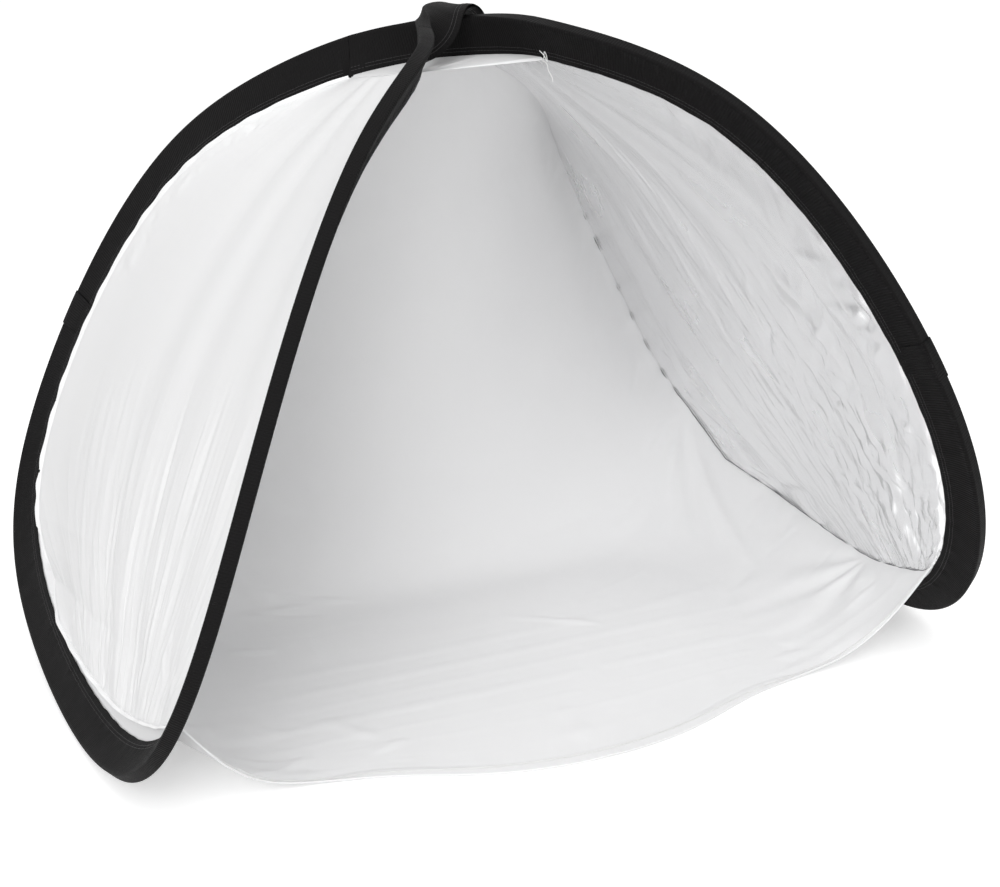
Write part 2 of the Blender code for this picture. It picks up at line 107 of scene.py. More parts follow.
LOOP_SHARES = (
    (0.156, -0.361, 1.010), (0.404, -0.684, 0.919), (0.666, -0.922, 0.660),
    (0.852, -0.995, 0.350), (0.953, -0.789, 0.100), (0.994, -0.308, 0.001),
    (0.989, 0.406, 0.048), (0.903, 0.915, 0.198), (0.714, 0.984, 0.478),
    (0.506, 0.782, 0.739), (0.303, 0.382, 0.907),
)
LEAN_DEGREES = (-20, -20, -20, -18, -16, -20, -6, -8, -6, -9, -13, -18)
HUB_SHARES = (0.625, -0.03, 0.50)
FRONT_NOTCH = 0.065
REAR_NOTCH = 0.955
HEM_START = 0.405
BACK_FOOT = 0.560
SEAM_PULL_SHARES = (
    (0.405, 0.000, 0.000, 0.000), (0.440, 0.000, 0.000, 0.024), (0.460, 0.000, 0.000, 0.030),
    (0.500, 0.000, 0.000, 0.026), (0.530, 0.000, 0.000, 0.018), (0.560, 0.000, 0.000, 0.003),
    (0.590, 0.015, -0.004, -0.008), (0.610, 0.006, -0.002, -0.003), (0.630, 0.000, 0.000, 0.000),
)


# %% Small helpers for points and directions
def unit(vector):
    return vector / np.linalg.norm(vector)


def units(rows):
    """Every row of an array, made one unit long."""
    return rows / np.linalg.norm(rows, axis=1, keepdims=True)


def kept_above(points, height):
    """The same points, with none lower than a height."""
    points = points.copy()
    points[..., 2] = np.maximum(points[..., 2], height)
    return points


def ease(share):
    share = np.clip(share, 0.0, 1.0)
    return share * share * (3.0 - 2.0 * share)


# %% A cubic spline
def spline(points, first_slope, last_slope):
    """A cubic spline through the points, read at a share from 0 to 1."""
    knots = np.array(points, float)
    count = len(knots)
    system = np.eye(count) * 4.0 + np.eye(count, k=1) + np.eye(count, k=-1)
    system[0], system[-1] = 0.0, 0.0
    system[0, 0], system[-1, -1] = 1.0, 1.0
    right = np.zeros_like(knots)
    right[1:-1] = 3.0 * (knots[2:] - knots[:-2])
    right[0], right[-1] = first_slope, last_slope
    slopes = np.linalg.solve(system, right)

    def read(share):
        place = min(max(share, 0.0), 1.0) * (count - 1)
        index = min(int(place), count - 2)
        step = place - index
        square, cube = step * step, step * step * step
        return (
            (2 * cube - 3 * square + 1) * knots[index] + (cube - 2 * square + step) * slopes[index]
            + (3 * square - 2 * cube) * knots[index + 1] + (cube - square) * slopes[index + 1]
        )

    return read


def free_spline(points):
    """A spline whose ends keep the direction of its first and last steps."""
    points = np.asarray(points, float)
    return spline(points, points[1] - points[0], points[-1] - points[-2])


def samples(read, count):
    return np.array([read(share) for share in np.linspace(0.0, 1.0, count)])


# %% The loop's line
def place_from_shares(shares):
    across, along, up = shares
    reach = FRONT_REACH if along < 0 else BACK_REACH
    return np.array([across * HALF_WIDTH, along * reach, FOOT_RISE + up * (HOOP_HEIGHT - FOOT_RISE)])


def leaving_direction(sign):
    return np.array([sign * math.sin(CROSSING_ANGLE), -math.cos(CROSSING_ANGLE), CROSSING_SLOPE])


CROSSING = np.array([0.0, 0.0, HOOP_HEIGHT])
LOOP = spline(
    [CROSSING] + [place_from_shares(row) for row in LOOP_SHARES] + [CROSSING],
    leaving_direction(1) * LEAVING_SPEED, leaving_direction(-1) * LEAVING_SPEED,
)
LEAN = spline([[angle] for angle in LEAN_DEGREES], [0.0], [0.0])
HUB = place_from_shares(HUB_SHARES)
STEP = 0.0005


# %% The two halves of the figure of eight
class Lobe:
    """One half of the figure of eight. side is 1 on the right and -1 on the left."""

    def __init__(self, side):
        self.side = side
        self.name = "right" if side > 0 else "left"
        self.body = self.name + "_side"
        self.hand = np.array([float(side), 1.0, 1.0])

    def over(self, share):
        return (share > 0.5) == (self.side > 0)

    def crown_share(self, share):
        if share < 0.5:
            return ease(1.0 - share / FRONT_NOTCH)
        return ease(1.0 - (1.0 - share) / (1.0 - REAR_NOTCH))

    def point(self, share):
        place = LOOP(share) * self.hand
        if self.over(share):
            place[2] += CROSSING_LIFT * self.crown_share(share)
        return place

    def tangent(self, share):
        return unit(self.point(min(share + STEP, 1.0)) - self.point(max(share - STEP, 0.0)))

    def inward(self, share):
        """Direction from the steel to the webbing's stitched edge."""
        tangent = unit(LOOP(min(share + STEP, 1.0)) - LOOP(max(share - STEP, 0.0)))
        toward = HUB - LOOP(share)
        toward = unit(toward - toward.dot(tangent) * tangent)
        lean = math.radians(LEAN(share)[0])
        direction = (math.cos(lean) * toward + math.sin(lean) * np.cross(tangent, toward)) * self.hand
        blend = self.crown_share(share)
        goal = leaving_direction(1) if self.over(share) else np.array([0.0, 0.0, -1.0])
        direction = (1.0 - blend) * direction + blend * unit(goal)
        own = self.tangent(share)
        return unit(direction - direction.dot(own) * own)

    def seam_pull(self, share):
        places, *shifts = zip(*SEAM_PULL_SHARES)
        inward, back, up = (np.interp(share, places, shift) for shift in shifts)
        return np.array([-inward, back, up]) * self.hand * HOOP_HEIGHT

    def notch(self, share):
        return self.point(share) + self.inward(share) * (BINDING_DEPTH + SEAM_ALLOWANCE)

    def seam(self, share):
        """Where the wall leaves the webbing and meets the sweep."""
        return self.notch(share) + self.seam_pull(share)

    def fold_line(self):
        front, rear = self.notch(FRONT_NOTCH), self.notch(REAR_NOTCH)
        return front, rear, unit(front - rear)


LEFT, RIGHT = Lobe(-1), Lobe(1)
loop_length = sum(
    np.linalg.norm(RIGHT.point(s + 0.002) - RIGHT.point(s)) for s in np.arange(0.0, 0.998, 0.002)
)
print("one loop of the hoop is", round(float(loop_length), 3), "m long")

# %% [markdown]
# ## Sections placed on the hoop
#
# The webbing, the steel and the laps are all long shapes with one cross-section that turns as
# it goes. A Blender curve can carry such a section, but its twist is hard to steer. Here each
# section is set one by one: the hoop gives a point, the direction of the steel and the direction
# in which the webbing leans, and the section's points are placed with those three.

# %% Stations
class Station:
    """A place on the hoop with the three directions that its sections are drawn in."""

    def __init__(self, lobe, share):
        self.lobe, self.share = lobe, share
        self.origin = lobe.point(share)
        self.along = lobe.tangent(share)
        self.inward = lobe.inward(share)
        self.across = np.cross(self.along, self.inward)
        self.plane = None

    def cut(self, point, normal, offset):
        self.plane = (point, normal, offset)

    def ring(self, section):
        section = np.asarray(section, float)
        places = self.origin + section[:, :1] * self.inward + section[:, 1:] * self.across
        if self.plane is not None:
            point, normal, offset = self.plane
            slide = (offset - (places - point) @ normal) / self.along.dot(normal)
            places = places + slide[:, None] * self.along
        return kept_above(places, 0.0)


def each(stations, attribute):
    """One property of every station, as the rows of an array."""
    return np.array([getattr(station, attribute) for station in stations])


def rings_of(stations, section):
    return np.array([station.ring(section) for station in stations])


# %% Where the steel and the webbing begin, end and meet
SIDE_ROWS, FOOT_COLUMNS = 19, 12
FRONT_JOIN_ROW, REAR_JOIN_ROW = 12, 9
RING_STEP = 0.0030
SPLIT_GAP = 0.0005


def lobe_shares():
    """The exact model's stations round one loop, from the front notch to the rear notch."""
    front = np.linspace(FRONT_NOTCH, HEM_START, SIDE_ROWS + 1)
    foot = np.linspace(HEM_START, BACK_FOOT, FOOT_COLUMNS + 1)
    rear = np.linspace(BACK_FOOT, REAR_NOTCH, SIDE_ROWS + 1)
    return list(front) + list(foot[1:]) + list(rear[1:])


def join_share(lobe):
    """Where a loop's two lengths of webbing meet, under the lap."""
    row = FRONT_JOIN_ROW if lobe.side > 0 else SIDE_ROWS + FOOT_COLUMNS + REAR_JOIN_ROW
    return lobe_shares()[row]


def dense_stations(lobe, first, last, step=RING_STEP):
    count = max(4, round((last - first) * loop_length / step))
    return [Station(lobe, share) for share in np.linspace(first, last, count)]


def square_end(stations, point, normal, offset):
    """Cut the first station square to the normal, and drop the next ones that reach past it."""
    first, kept = stations[0], stations[1:]
    first.cut(point, normal, offset)
    side = math.copysign(1.0, offset)
    while len(kept) > 1 and (side * (kept[0].ring(TAPE_OUTLINE) - point) @ normal).min() < 2 * abs(offset):
        kept = kept[1:]
    return [first] + kept


def side_runs(lobe):
    """The two lengths of one loop: down its front, and up its rear."""
    front, rear, axis = lobe.fold_line()
    join = join_share(lobe)
    middle = Station(lobe, join)
    first, second = dense_stations(lobe, FRONT_NOTCH, join), dense_stations(lobe, join, REAR_NOTCH)
    first[-1].cut(middle.origin, middle.along, -SPLIT_GAP / 2)
    second[0].cut(middle.origin, middle.along, SPLIT_GAP / 2)
    first = square_end(first, front, axis, SPLIT_GAP / 2)
    second = square_end(second[::-1], rear, axis, -SPLIT_GAP / 2)[::-1]
    return {"front": first, "rear": second}


def crown_line(lobe_in, lobe_out, step=RING_STEP):
    """The strand that comes up lobe_in's rear and goes down lobe_out's front."""
    run = dense_stations(lobe_in, REAR_NOTCH, 1.0, step)
    return run + dense_stations(lobe_out, 0.0, FRONT_NOTCH, step)[1:]


def crown_run(lobe_in, lobe_out):
    """The same strand, cut square to the fold line of each side."""
    _, rear_point, rear_axis = lobe_in.fold_line()
    front_point, _, front_axis = lobe_out.fold_line()
    run = square_end(crown_line(lobe_in, lobe_out), rear_point, rear_axis, SPLIT_GAP / 2)
    return square_end(run[::-1], front_point, front_axis, -SPLIT_GAP / 2)[::-1]


# %% [markdown]
# ## The folded webbing's cross-section
#
# The binding is a flat black tape, folded lengthwise round the steel and stitched through the
# cloth. From the side that gives a boxy nose as wide as the steel, a crisp ridge where the tape
# turns, a face drawn tight towards the stitches, and a thin lip beyond them. The section is
# written as a few corners, and the corners are then rounded.

# %% Section of the tape
STRIP_WIDTH, STRIP_THICKNESS = 0.006, 0.0008
FERRULE_WALL, FIT = 0.0005, 0.0003
TAPE = 0.0011
RIM_HALF = STRIP_WIDTH / 2 + FERRULE_WALL + 2 * FIT
MOUTH_HALF = 0.00065
NOSE_DEPTH = STRIP_THICKNESS / 2 + FERRULE_WALL + 2 * FIT
WAIST_DEPTH = BINDING_DEPTH - FABRIC_TUCK
CURVE_STEPS, FACE_GAP = 4, 0.0016


def fold_corners(growth):
    """Half of the fold at some distance outside the steel, from the stitched edge to the nose."""
    return [
        (BINDING_DEPTH, MOUTH_HALF + growth), (WAIST_DEPTH, MOUTH_HALF + growth),
        (NOSE_DEPTH, RIM_HALF + growth), (-NOSE_DEPTH - growth, RIM_HALF + growth),
    ]


def both_sides(half):
    return [(depth, -side) for depth, side in half] + list(half)[::-1]


def curve_through(corners, reaches):
    """An open line whose inner corners are replaced by short curves of the given reach."""
    corners = [np.array(corner, float) for corner in corners]
    line = [corners[0]]
    for before, corner, after, reach in zip(corners, corners[1:], corners[2:], reaches):
        first = corner + unit(before - corner) * min(reach, np.linalg.norm(before - corner) / 2)
        last = corner + unit(after - corner) * min(reach, np.linalg.norm(after - corner) / 2)
        for share in np.linspace(0.0, 1.0, CURVE_STEPS):
            line.append((1 - share) ** 2 * first + 2 * share * (1 - share) * corner + share**2 * last)
    return line + [corners[-1]]


def filled(line, gap):
    """The same line with no two neighbours further apart than the gap."""
    result = [line[0]]
    for before, after in zip(line, line[1:]):
        count = max(1, math.ceil(np.linalg.norm(after - before) / gap))
        result += [before + (after - before) * step / count for step in range(1, count + 1)]
    return result


def tape_outside(growth):
    """The tape's outer face: lip, stitched flat, tight face, ridge, nose, and back again."""
    half = [
        (BINDING_DEPTH + 0.0018, MOUTH_HALF + growth * 0.30),
        (BINDING_DEPTH + 0.0010, MOUTH_HALF + growth * 0.75), (BINDING_DEPTH - 0.0016, MOUTH_HALF + growth),
        (BINDING_DEPTH - 0.0068, MOUTH_HALF + growth * 1.05),
        (WAIST_DEPTH - 0.0030, MOUTH_HALF + growth + 0.0004), (0.0052, RIM_HALF + growth - 0.0013),
        (-0.0004, RIM_HALF + growth + 0.0001), (-NOSE_DEPTH - growth, RIM_HALF + growth - 0.0006),
    ]
    reaches = (0.0006, 0.0006, 0.0012, 0.0020, 0.0025, 0.0008, 0.0009)
    return filled(curve_through(both_sides(half), reaches + reaches[::-1]), FACE_GAP)


TAPE_OUTLINE = both_sides(fold_corners(TAPE))
tape_face = tape_outside(TAPE)
tape_inside = both_sides(fold_corners(0.0))[::-1]
print("tape section:", len(tape_face), "points outside and", len(tape_inside), "inside")

# %% [markdown]
# ## Making meshes
#
# Every piece ends as a list of points, a list of faces and a UV map. The UV map is in metres:
# one unit is one metre of cloth or tape. A weave or a rib then has its real size and stays put
# when the piece bends, which coordinates taken from the object's box would not.

# %% Helpers for meshes
WELD = 1e-6
PIECES = bpy.data.collections.new("light_tent")
bpy.context.scene.collection.children.link(PIECES)


def add_piece(name, points, faces, corner_uvs, look):
    mesh = bpy.data.meshes.new(name)
    mesh.from_pydata(np.asarray(points).tolist(), [], faces)
    mesh.uv_layers.new(name="metres").data.foreach_set("uv", np.asarray(corner_uvs, np.float32).ravel())
    mesh.materials.append(look)
    thing = bpy.data.objects.new(name, mesh)
    PIECES.objects.link(thing)
    return thing


def tidied(thing, sharp):
    """Join touching points and turn every face outward."""
    shape = bmesh.new()
    shape.from_mesh(thing.data)
    bmesh.ops.remove_doubles(shape, verts=shape.verts[:], dist=WELD)
    bmesh.ops.recalc_face_normals(shape, faces=shape.faces[:])
    if all(edge.is_manifold for edge in shape.edges) and shape.calc_volume(signed=True) < 0:
        bmesh.ops.reverse_faces(shape, faces=shape.faces[:])
    shape.to_mesh(thing.data)
    shape.free()
    thing.data.shade_smooth()
    thing.data.set_sharp_from_angle(angle=math.radians(sharp))
    return thing


# %% Grids and lofts
def run_lengths(places):
    """Distance covered up to each place of a line."""
    steps = np.linalg.norm(np.diff(np.asarray(places), axis=0), axis=1)
    return np.concatenate([[0.0], np.cumsum(steps)])


def grid_faces(rows, columns, closed=False):
    index = np.arange(rows * columns).reshape(rows, columns)
    after = np.roll(index, -1, axis=1) if closed else index[:, 1:]
    index = index if closed else index[:, :-1]
    return np.stack([index[:-1], after[:-1], after[1:], index[1:]], axis=-1).reshape(-1, 4).tolist()


def grid_uvs(down, over):
    """UV corners that match grid_faces, for distances down the rows and over the columns."""
    corners = [(over[:-1], down[:-1]), (over[1:], down[:-1]), (over[1:], down[1:]), (over[:-1], down[1:])]
    uvs = np.empty((len(down) - 1, len(over) - 1, 4, 2))
    for corner, (x, y) in enumerate(corners):
        uvs[..., corner, 0], uvs[..., corner, 1] = x[None, :], y[:, None]
    return uvs.reshape(-1, 2)


def loft(name, rings, section, look, sharp=40.0):
    """Rings of points joined into a closed tube with a flat cap at each end."""
    rows, count, _ = rings.shape
    faces = grid_faces(rows, count, closed=True)
    uvs = grid_uvs(run_lengths(rings.mean(axis=1)), run_lengths(list(section) + [section[0]]))
    last = (rows - 1) * count
    faces += [tuple(range(count))[::-1], tuple(range(last, last + count))]
    caps = np.concatenate([np.array(section)[::-1], np.array(section)])
    return tidied(add_piece(name, rings.reshape(-1, 3), faces, np.concatenate([uvs, caps]), look), sharp)


def held(thing, lobe, slot, *nodes):
    """Tie a piece to the crown, the fixed part of the hoop at the crossing, or leave it where it is.

    With no lobe it rides the crown. With one, its place is baked into its points.
    """
    if nodes:
        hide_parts(*nodes)
    if lobe is None:
        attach(thing, "crown")
    else:
        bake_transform(thing)
    print(thing.name, len(thing.data.polygons), "faces")


# %% [markdown]
# ## Shared shader groups
#
# Cloth, tape and metal share a few surface effects: the weave, the tape's ribs, a soft unevenness
# and a light dusting of lint. Each is one node group with named inputs, built once. It only puts
# out numbers. The shader itself stays in each material, where its values can be read plainly.

# %% Numbers inside a shader group
class Signal:
    """A number inside a shader group. Arithmetic with it adds Math nodes to the group."""

    def __init__(self, tree, socket):
        self.tree, self.socket = tree, socket

    def math(self, operation, *values):
        node = self.tree.nodes.new("ShaderNodeMath")
        node.operation = operation
        for socket, value in zip(node.inputs, values):
            if isinstance(value, Signal):
                self.tree.links.new(value.socket, socket)
            else:
                socket.default_value = value
        return Signal(self.tree, node.outputs[0])

    def __add__(self, other):
        return self.math("ADD", self, other)

    def __sub__(self, other):
        return self.math("SUBTRACT", self, other)

    def __rsub__(self, other):
        return self.math("SUBTRACT", other, self)

    def __mul__(self, other):
        return self.math("MULTIPLY", self, other)

    def __truediv__(self, other):
        return self.math("DIVIDE", self, other)

    def __rtruediv__(self, other):
        return self.math("DIVIDE", other, self)

    def __pow__(self, power):
        return self.math("POWER", self, power)

    def __abs__(self):
        return self.math("ABSOLUTE", self)

    def sine(self):
        return self.math("SINE", self)


# %% Group builder
class Group:
    """A shader node group under construction. It is read like a dictionary of its inputs."""

    def __init__(self, name, inputs, output):
        self.tree = bpy.data.node_groups.new(name, "ShaderNodeTree")
        place = self.tree.interface.new_socket("Place", in_out="INPUT", socket_type="NodeSocketVector")
        place.description = "position on the cloth, in metres"
        for label, value in inputs.items():
            socket = self.tree.interface.new_socket(label, in_out="INPUT", socket_type="NodeSocketFloat")
            socket.default_value = value
        self.tree.interface.new_socket(output, in_out="OUTPUT", socket_type="NodeSocketFloat")
        self.inputs = self.tree.nodes.new("NodeGroupInput").outputs
        self.output = self.tree.nodes.new("NodeGroupOutput").inputs[output]
        self.place = self.inputs["Place"]
        print("group", name, "gives", output)

    def __getitem__(self, label):
        return Signal(self.tree, self.inputs[label])

    def give(self, signal):
        self.tree.links.new(signal.socket, self.output)

    def split(self):
        """Distances over and down the cloth."""
        node = self.tree.nodes.new("ShaderNodeSeparateXYZ")
        self.tree.links.new(self.place, node.inputs[0])
        return Signal(self.tree, node.outputs["X"]), Signal(self.tree, node.outputs["Y"])

    def joined(self, x, y):
        node = self.tree.nodes.new("ShaderNodeCombineXYZ")
        self.tree.links.new(x.socket, node.inputs["X"])
        self.tree.links.new(y.socket, node.inputs["Y"])
        return node.outputs[0]

    def noise(self, vector, scale, detail=3.0):
        node = self.tree.nodes.new("ShaderNodeTexNoise")
        self.tree.links.new(vector, node.inputs["Vector"])
        self.tree.links.new(scale.socket, node.inputs["Scale"])
        node.inputs["Detail"].default_value = detail
        return Signal(self.tree, node.outputs["Fac"])

    def near(self, x, y, least):
        """1 where x and y are nought, falling to the least value at the group's Reach."""
        away = x.math("SQRT", x * x + y * y)
        return away, x.math("MAXIMUM", 1.0 - away / self["Reach"], least)


# %% Plain weave: threads that pass over and under each other
weave = Group("plain_weave", {"Pitch": 0.0006}, "Height")
over, down = weave.split()
turns = math.pi / weave["Pitch"]
weave.give((over * turns).sine() * (down * turns).sine() * 0.5 + 0.5)

# %% Tape ribs: fine cords along the tape, each crossed by slanting threads
ribs = Group("tape_ribs", {"Pitch": 0.0011}, "Height")
along, across = ribs.split()
cord = abs((across * (math.pi / ribs["Pitch"])).sine())
thread = ((along + across * 0.6) * (4 * math.pi / ribs["Pitch"])).sine()
ribs.give(thread * 0.18 + cord * 0.8)

# %% Soft unevenness: cloth is never quite flat or quite one tone
uneven = Group("soft_unevenness", {"Scale": 20.0, "Stretch": 1.0}, "Height")
over, down = uneven.split()
uneven.give(uneven.noise(uneven.joined(over, down * uneven["Stretch"]), uneven["Scale"]))

# %% Lint: sparse pale specks that a dark tape always carries
lint = Group("lint", {"Scale": 900.0, "Amount": 0.06}, "Mask")
specks = lint.noise(lint.place, lint["Scale"], 1.0)
patches = lint.noise(lint.place, lint["Scale"] * 0.04, 2.0)
lint.give((patches * 0.25 + specks - 0.78) * 6.0 * lint["Amount"])

# %% Fine creases: sharp lines that fan out from one point of the cloth
fan = Group("creases", {"Scale": 60.0, "Focus X": 0.2, "Focus Y": 0.6, "Stretch": 0.12, "Reach": 0.5}, "Height")
x, y = fan.split()
x, y = x - fan["Focus X"], fan["Focus Y"] - y
away, near = fan.near(x, y, 0.0)
polar = fan.joined(x.math("ARCTAN2", x, y) * 0.35, away * fan["Stretch"])
wave = abs(fan.noise(polar, fan["Scale"], 2.0) * 2.0 - 1.0)
fan.give((1.0 - wave) ** 6.0 * near)

# %% Foil: a crushed metal face breaks into small facets with sharp edges between them
foil = Group("foil_facets", {"Scale": 60.0, "Stretch": 0.5, "Centre X": 0.1, "Centre Y": 0.4, "Reach": 0.2}, "Height")
x, y = foil.split()
bend = foil.noise(foil.place, foil["Scale"] * 0.5, 2.0)
cells = foil.tree.nodes.new("ShaderNodeTexVoronoi")
cells.feature = "DISTANCE_TO_EDGE"
warped = foil.joined(bend * 0.035 + x, bend * 0.020 + y * foil["Stretch"])
foil.tree.links.new(warped, cells.inputs["Vector"])
foil.tree.links.new(foil.inputs["Scale"], cells.inputs["Scale"])
facets = x.math("MINIMUM", Signal(foil.tree, cells.outputs["Distance"]) * 2.2, 1.0)
_, crushed = foil.near(x - foil["Centre X"], y - foil["Centre Y"], 0.06)
foil.give(facets * crushed)

# %% [markdown]
# ## Materials
#
# A few finishes make the whole tent. The white cloths are dull and a little uneven, and so is the
# tape. The silver cloth is white cloth with a thin metal coat: it mirrors what is in front of
# it, but softly, and its creases catch the light. Colours are written as linear values.

# %% Material builder
class Look:
    """A material under construction: one Principled shader and the groups that feed it."""

    def __init__(self, name, colour, roughness, metallic=0.0):
        self.material = bpy.data.materials.new(name)
        self.material.use_nodes = True
        self.tree = self.material.node_tree
        self.shader = self.tree.nodes["Principled BSDF"].inputs
        self.shader["Base Color"].default_value = (*colour, 1.0)
        self.shader["Roughness"].default_value = roughness
        self.shader["Metallic"].default_value = metallic
        self.place = self.tree.nodes.new("ShaderNodeUVMap")
        self.place.uv_map = "metres"
        print("material", name)

    def group(self, group, values):
        node = self.tree.nodes.new("ShaderNodeGroup")
        node.node_tree = group.tree
        self.tree.links.new(self.place.outputs[0], node.inputs["Place"])
        for label, value in values.items():
            node.inputs[label].default_value = value
        return node.outputs[0]

    def tint(self, group, values, low, high):
        """Base colour between two tones, led by a group's mask from 0 to 1."""
        ramp = self.tree.nodes.new("ShaderNodeMix")
        ramp.data_type = "RGBA"
        self.tree.links.new(self.group(group, values), ramp.inputs["Factor"])
        ramp.inputs["A"].default_value = (*low, 1.0)
        ramp.inputs["B"].default_value = (*high, 1.0)
        self.tree.links.new(ramp.outputs["Result"], self.shader["Base Color"])

    def vary(self, group, values, low, high):
        """Roughness between two limits, led by a group's mask from 0 to 1."""
        node = self.tree.nodes.new("ShaderNodeMapRange")
        node.inputs["To Min"].default_value = low
        node.inputs["To Max"].default_value = high
        self.tree.links.new(self.group(group, values), node.inputs["Value"])
        self.tree.links.new(node.outputs["Result"], self.shader["Roughness"])

    def bumps(self, *layers):
        """Stack heights on the surface. Each layer is a group, its values and a height in metres."""
        normal = None
        for group, values, height in layers:
            node = self.tree.nodes.new("ShaderNodeBump")
            node.inputs["Distance"].default_value = height
            self.tree.links.new(self.group(group, values), node.inputs["Height"])
            if normal is not None:
                self.tree.links.new(normal, node.inputs["Normal"])
            normal = node.outputs["Normal"]
        self.tree.links.new(normal, self.shader["Normal"])


# %% Black webbing and its thread
webbing = Look("black_webbing", (0.0072, 0.0068, 0.0070), 0.62)
webbing.tint(lint, {"Scale": 900.0, "Amount": 0.05}, (0.0070, 0.0066, 0.0068), (0.060, 0.060, 0.060))
webbing.vary(uneven, {"Scale": 60.0}, 0.55, 0.72)
webbing.bumps((uneven, {"Scale": 90.0, "Stretch": 2.0}, 0.0004), (ribs, {"Pitch": 0.0020}, 0.00042))
webbing.shader["Specular IOR Level"].default_value = 0.08
black_thread = Look("black_thread", (0.014, 0.013, 0.014), 0.55)
black_thread.vary(uneven, {"Scale": 300.0}, 0.45, 0.65)
black_thread.bumps((ribs, {"Pitch": 0.0004}, 0.00005))

# %% White cloths and white thread
white_cloth = Look("white_cloth", (0.86, 0.86, 0.862), 0.85)
white_cloth.tint(uneven, {"Scale": 9.0}, (0.845, 0.845, 0.850), (0.875, 0.875, 0.877))
white_cloth.vary(uneven, {"Scale": 30.0}, 0.78, 0.92)
white_cloth.bumps((uneven, {"Scale": 14.0}, 0.0012), (weave, {"Pitch": 0.0006}, 0.00005))
thin_cloth = Look("thin_white_cloth", (0.80, 0.80, 0.803), 0.8)
thin_cloth.tint(uneven, {"Scale": 8.0, "Stretch": 0.5}, (0.780, 0.780, 0.785), (0.815, 0.815, 0.818))
thin_cloth.vary(uneven, {"Scale": 40.0}, 0.70, 0.88)
thin_cloth.bumps(
    (uneven, {"Scale": 30.0, "Stretch": 0.3}, 0.0006),
    (fan, {"Scale": 52.0, "Focus X": 0.20, "Focus Y": 0.80, "Reach": 0.60}, 0.0012),
    (weave, {"Pitch": 0.0005}, 0.00004),
)
white_thread = Look("white_thread", (0.86, 0.86, 0.85), 0.6)
white_thread.vary(uneven, {"Scale": 300.0}, 0.5, 0.7)
white_thread.bumps((ribs, {"Pitch": 0.0003}, 0.00004))

# %% Silver cloth
silver_cloth = Look("silver_cloth", (0.89, 0.89, 0.90), 0.24, 0.82)
silver_cloth.tint(uneven, {"Scale": 7.0, "Stretch": 0.5}, (0.870, 0.870, 0.878), (0.910, 0.910, 0.915))
silver_cloth.vary(uneven, {"Scale": 22.0, "Stretch": 0.4}, 0.16, 0.34)
silver_cloth.bumps(
    (uneven, {"Scale": 45.0, "Stretch": 0.25}, 0.0008),
    (foil, {"Scale": 42.0, "Centre X": 0.10, "Centre Y": 0.40, "Reach": 0.24}, 0.0026),
    (fan, {"Scale": 55.0, "Focus X": 0.16, "Focus Y": 0.75, "Reach": 0.85}, 0.0006),
    (weave, {"Pitch": 0.0005}, 0.00003),
)

# %% Spring steel, crimped ferrule and the dark grey of the painted shade in the seams
spring_steel = Look("spring_steel", (0.42, 0.42, 0.43), 0.32, 1.0)
spring_steel.vary(uneven, {"Scale": 30.0, "Stretch": 12.0}, 0.24, 0.42)
spring_steel.bumps((uneven, {"Scale": 500.0, "Stretch": 8.0}, 0.00002))
ferrule_metal = Look("ferrule_metal", (0.60, 0.52, 0.36), 0.38, 1.0)
ferrule_metal.vary(uneven, {"Scale": 200.0}, 0.30, 0.48)
ferrule_metal.bumps((uneven, {"Scale": 600.0, "Stretch": 3.0}, 0.00003))
# This dark grey is painted shade. It stands for the shadow in each seam between wall and sweep.
seam_shade_line = Look("grey_seam_thread", (0.15, 0.15, 0.155), 0.8)
seam_shade_line.vary(uneven, {"Scale": 300.0}, 0.7, 0.9)
seam_shade_line.bumps((ribs, {"Pitch": 0.0004}, 0.00003))

# %% [markdown]
# ## Webbing round the hoop
#
# A loft alone looks like moulded plastic. Real tape is gathered a little by its stitches, and its
# edge wanders. Two irregular waves along the tape give that: one swells the face near the
# stitches, the other moves the lip in and out. Each wave is a sum of sine waves with fixed
# phases, so that it comes out the same each time.

# %% Tape with gathered stitches
TAPE_SECTION = np.array(tape_face + tape_inside)
TAPE_DEPTHS, TAPE_SIDES = TAPE_SECTION.T
ON_OUTSIDE = np.arange(len(TAPE_SECTION)) < len(tape_face)
GATHER, GATHER_DEPTH, GATHER_REACH = 0.00024, BINDING_DEPTH - 0.0062, 0.0042
LIP_WANDER = 0.00022
GATHER_WAVES, WANDER_WAVES = (0.007, 0.024), (0.012, 0.060)


def irregular(places, seed, shortest, longest, count=7):
    """A smooth wave of about unit height, made of sine waves with random lengths and phases."""
    draw = np.random.default_rng(seed)
    lengths, phases = draw.uniform(shortest, longest, count), draw.uniform(0, 2 * np.pi, count)
    waves = np.sin(2 * np.pi * np.asarray(places)[..., None] / lengths + phases)
    return waves.sum(-1) / math.sqrt(count)


def gathered(along, depths, seed):
    """How far the tape's face stands proud, at distances along it and depths across it."""
    near = np.exp(-(((depths - GATHER_DEPTH) / GATHER_REACH) ** 2))
    return GATHER * near * irregular(along, seed, *GATHER_WAVES)


def tape_rings(stations, seed):
    along = run_lengths(each(stations, "origin"))[:, None]
    across, inward = each(stations, "across")[:, None], each(stations, "inward")[:, None]
    proud = np.where(ON_OUTSIDE, np.sign(TAPE_SIDES) * gathered(along, TAPE_DEPTHS, seed), 0.0)
    loose = np.clip((TAPE_DEPTHS - WAIST_DEPTH) / FABRIC_TUCK, 0.0, 1.0)
    wander = LIP_WANDER * loose * irregular(along, seed + 1, *WANDER_WAVES)
    rings = rings_of(stations, TAPE_SECTION) + across * proud[..., None] + inward * wander[..., None]
    return kept_above(rings, 0.0)


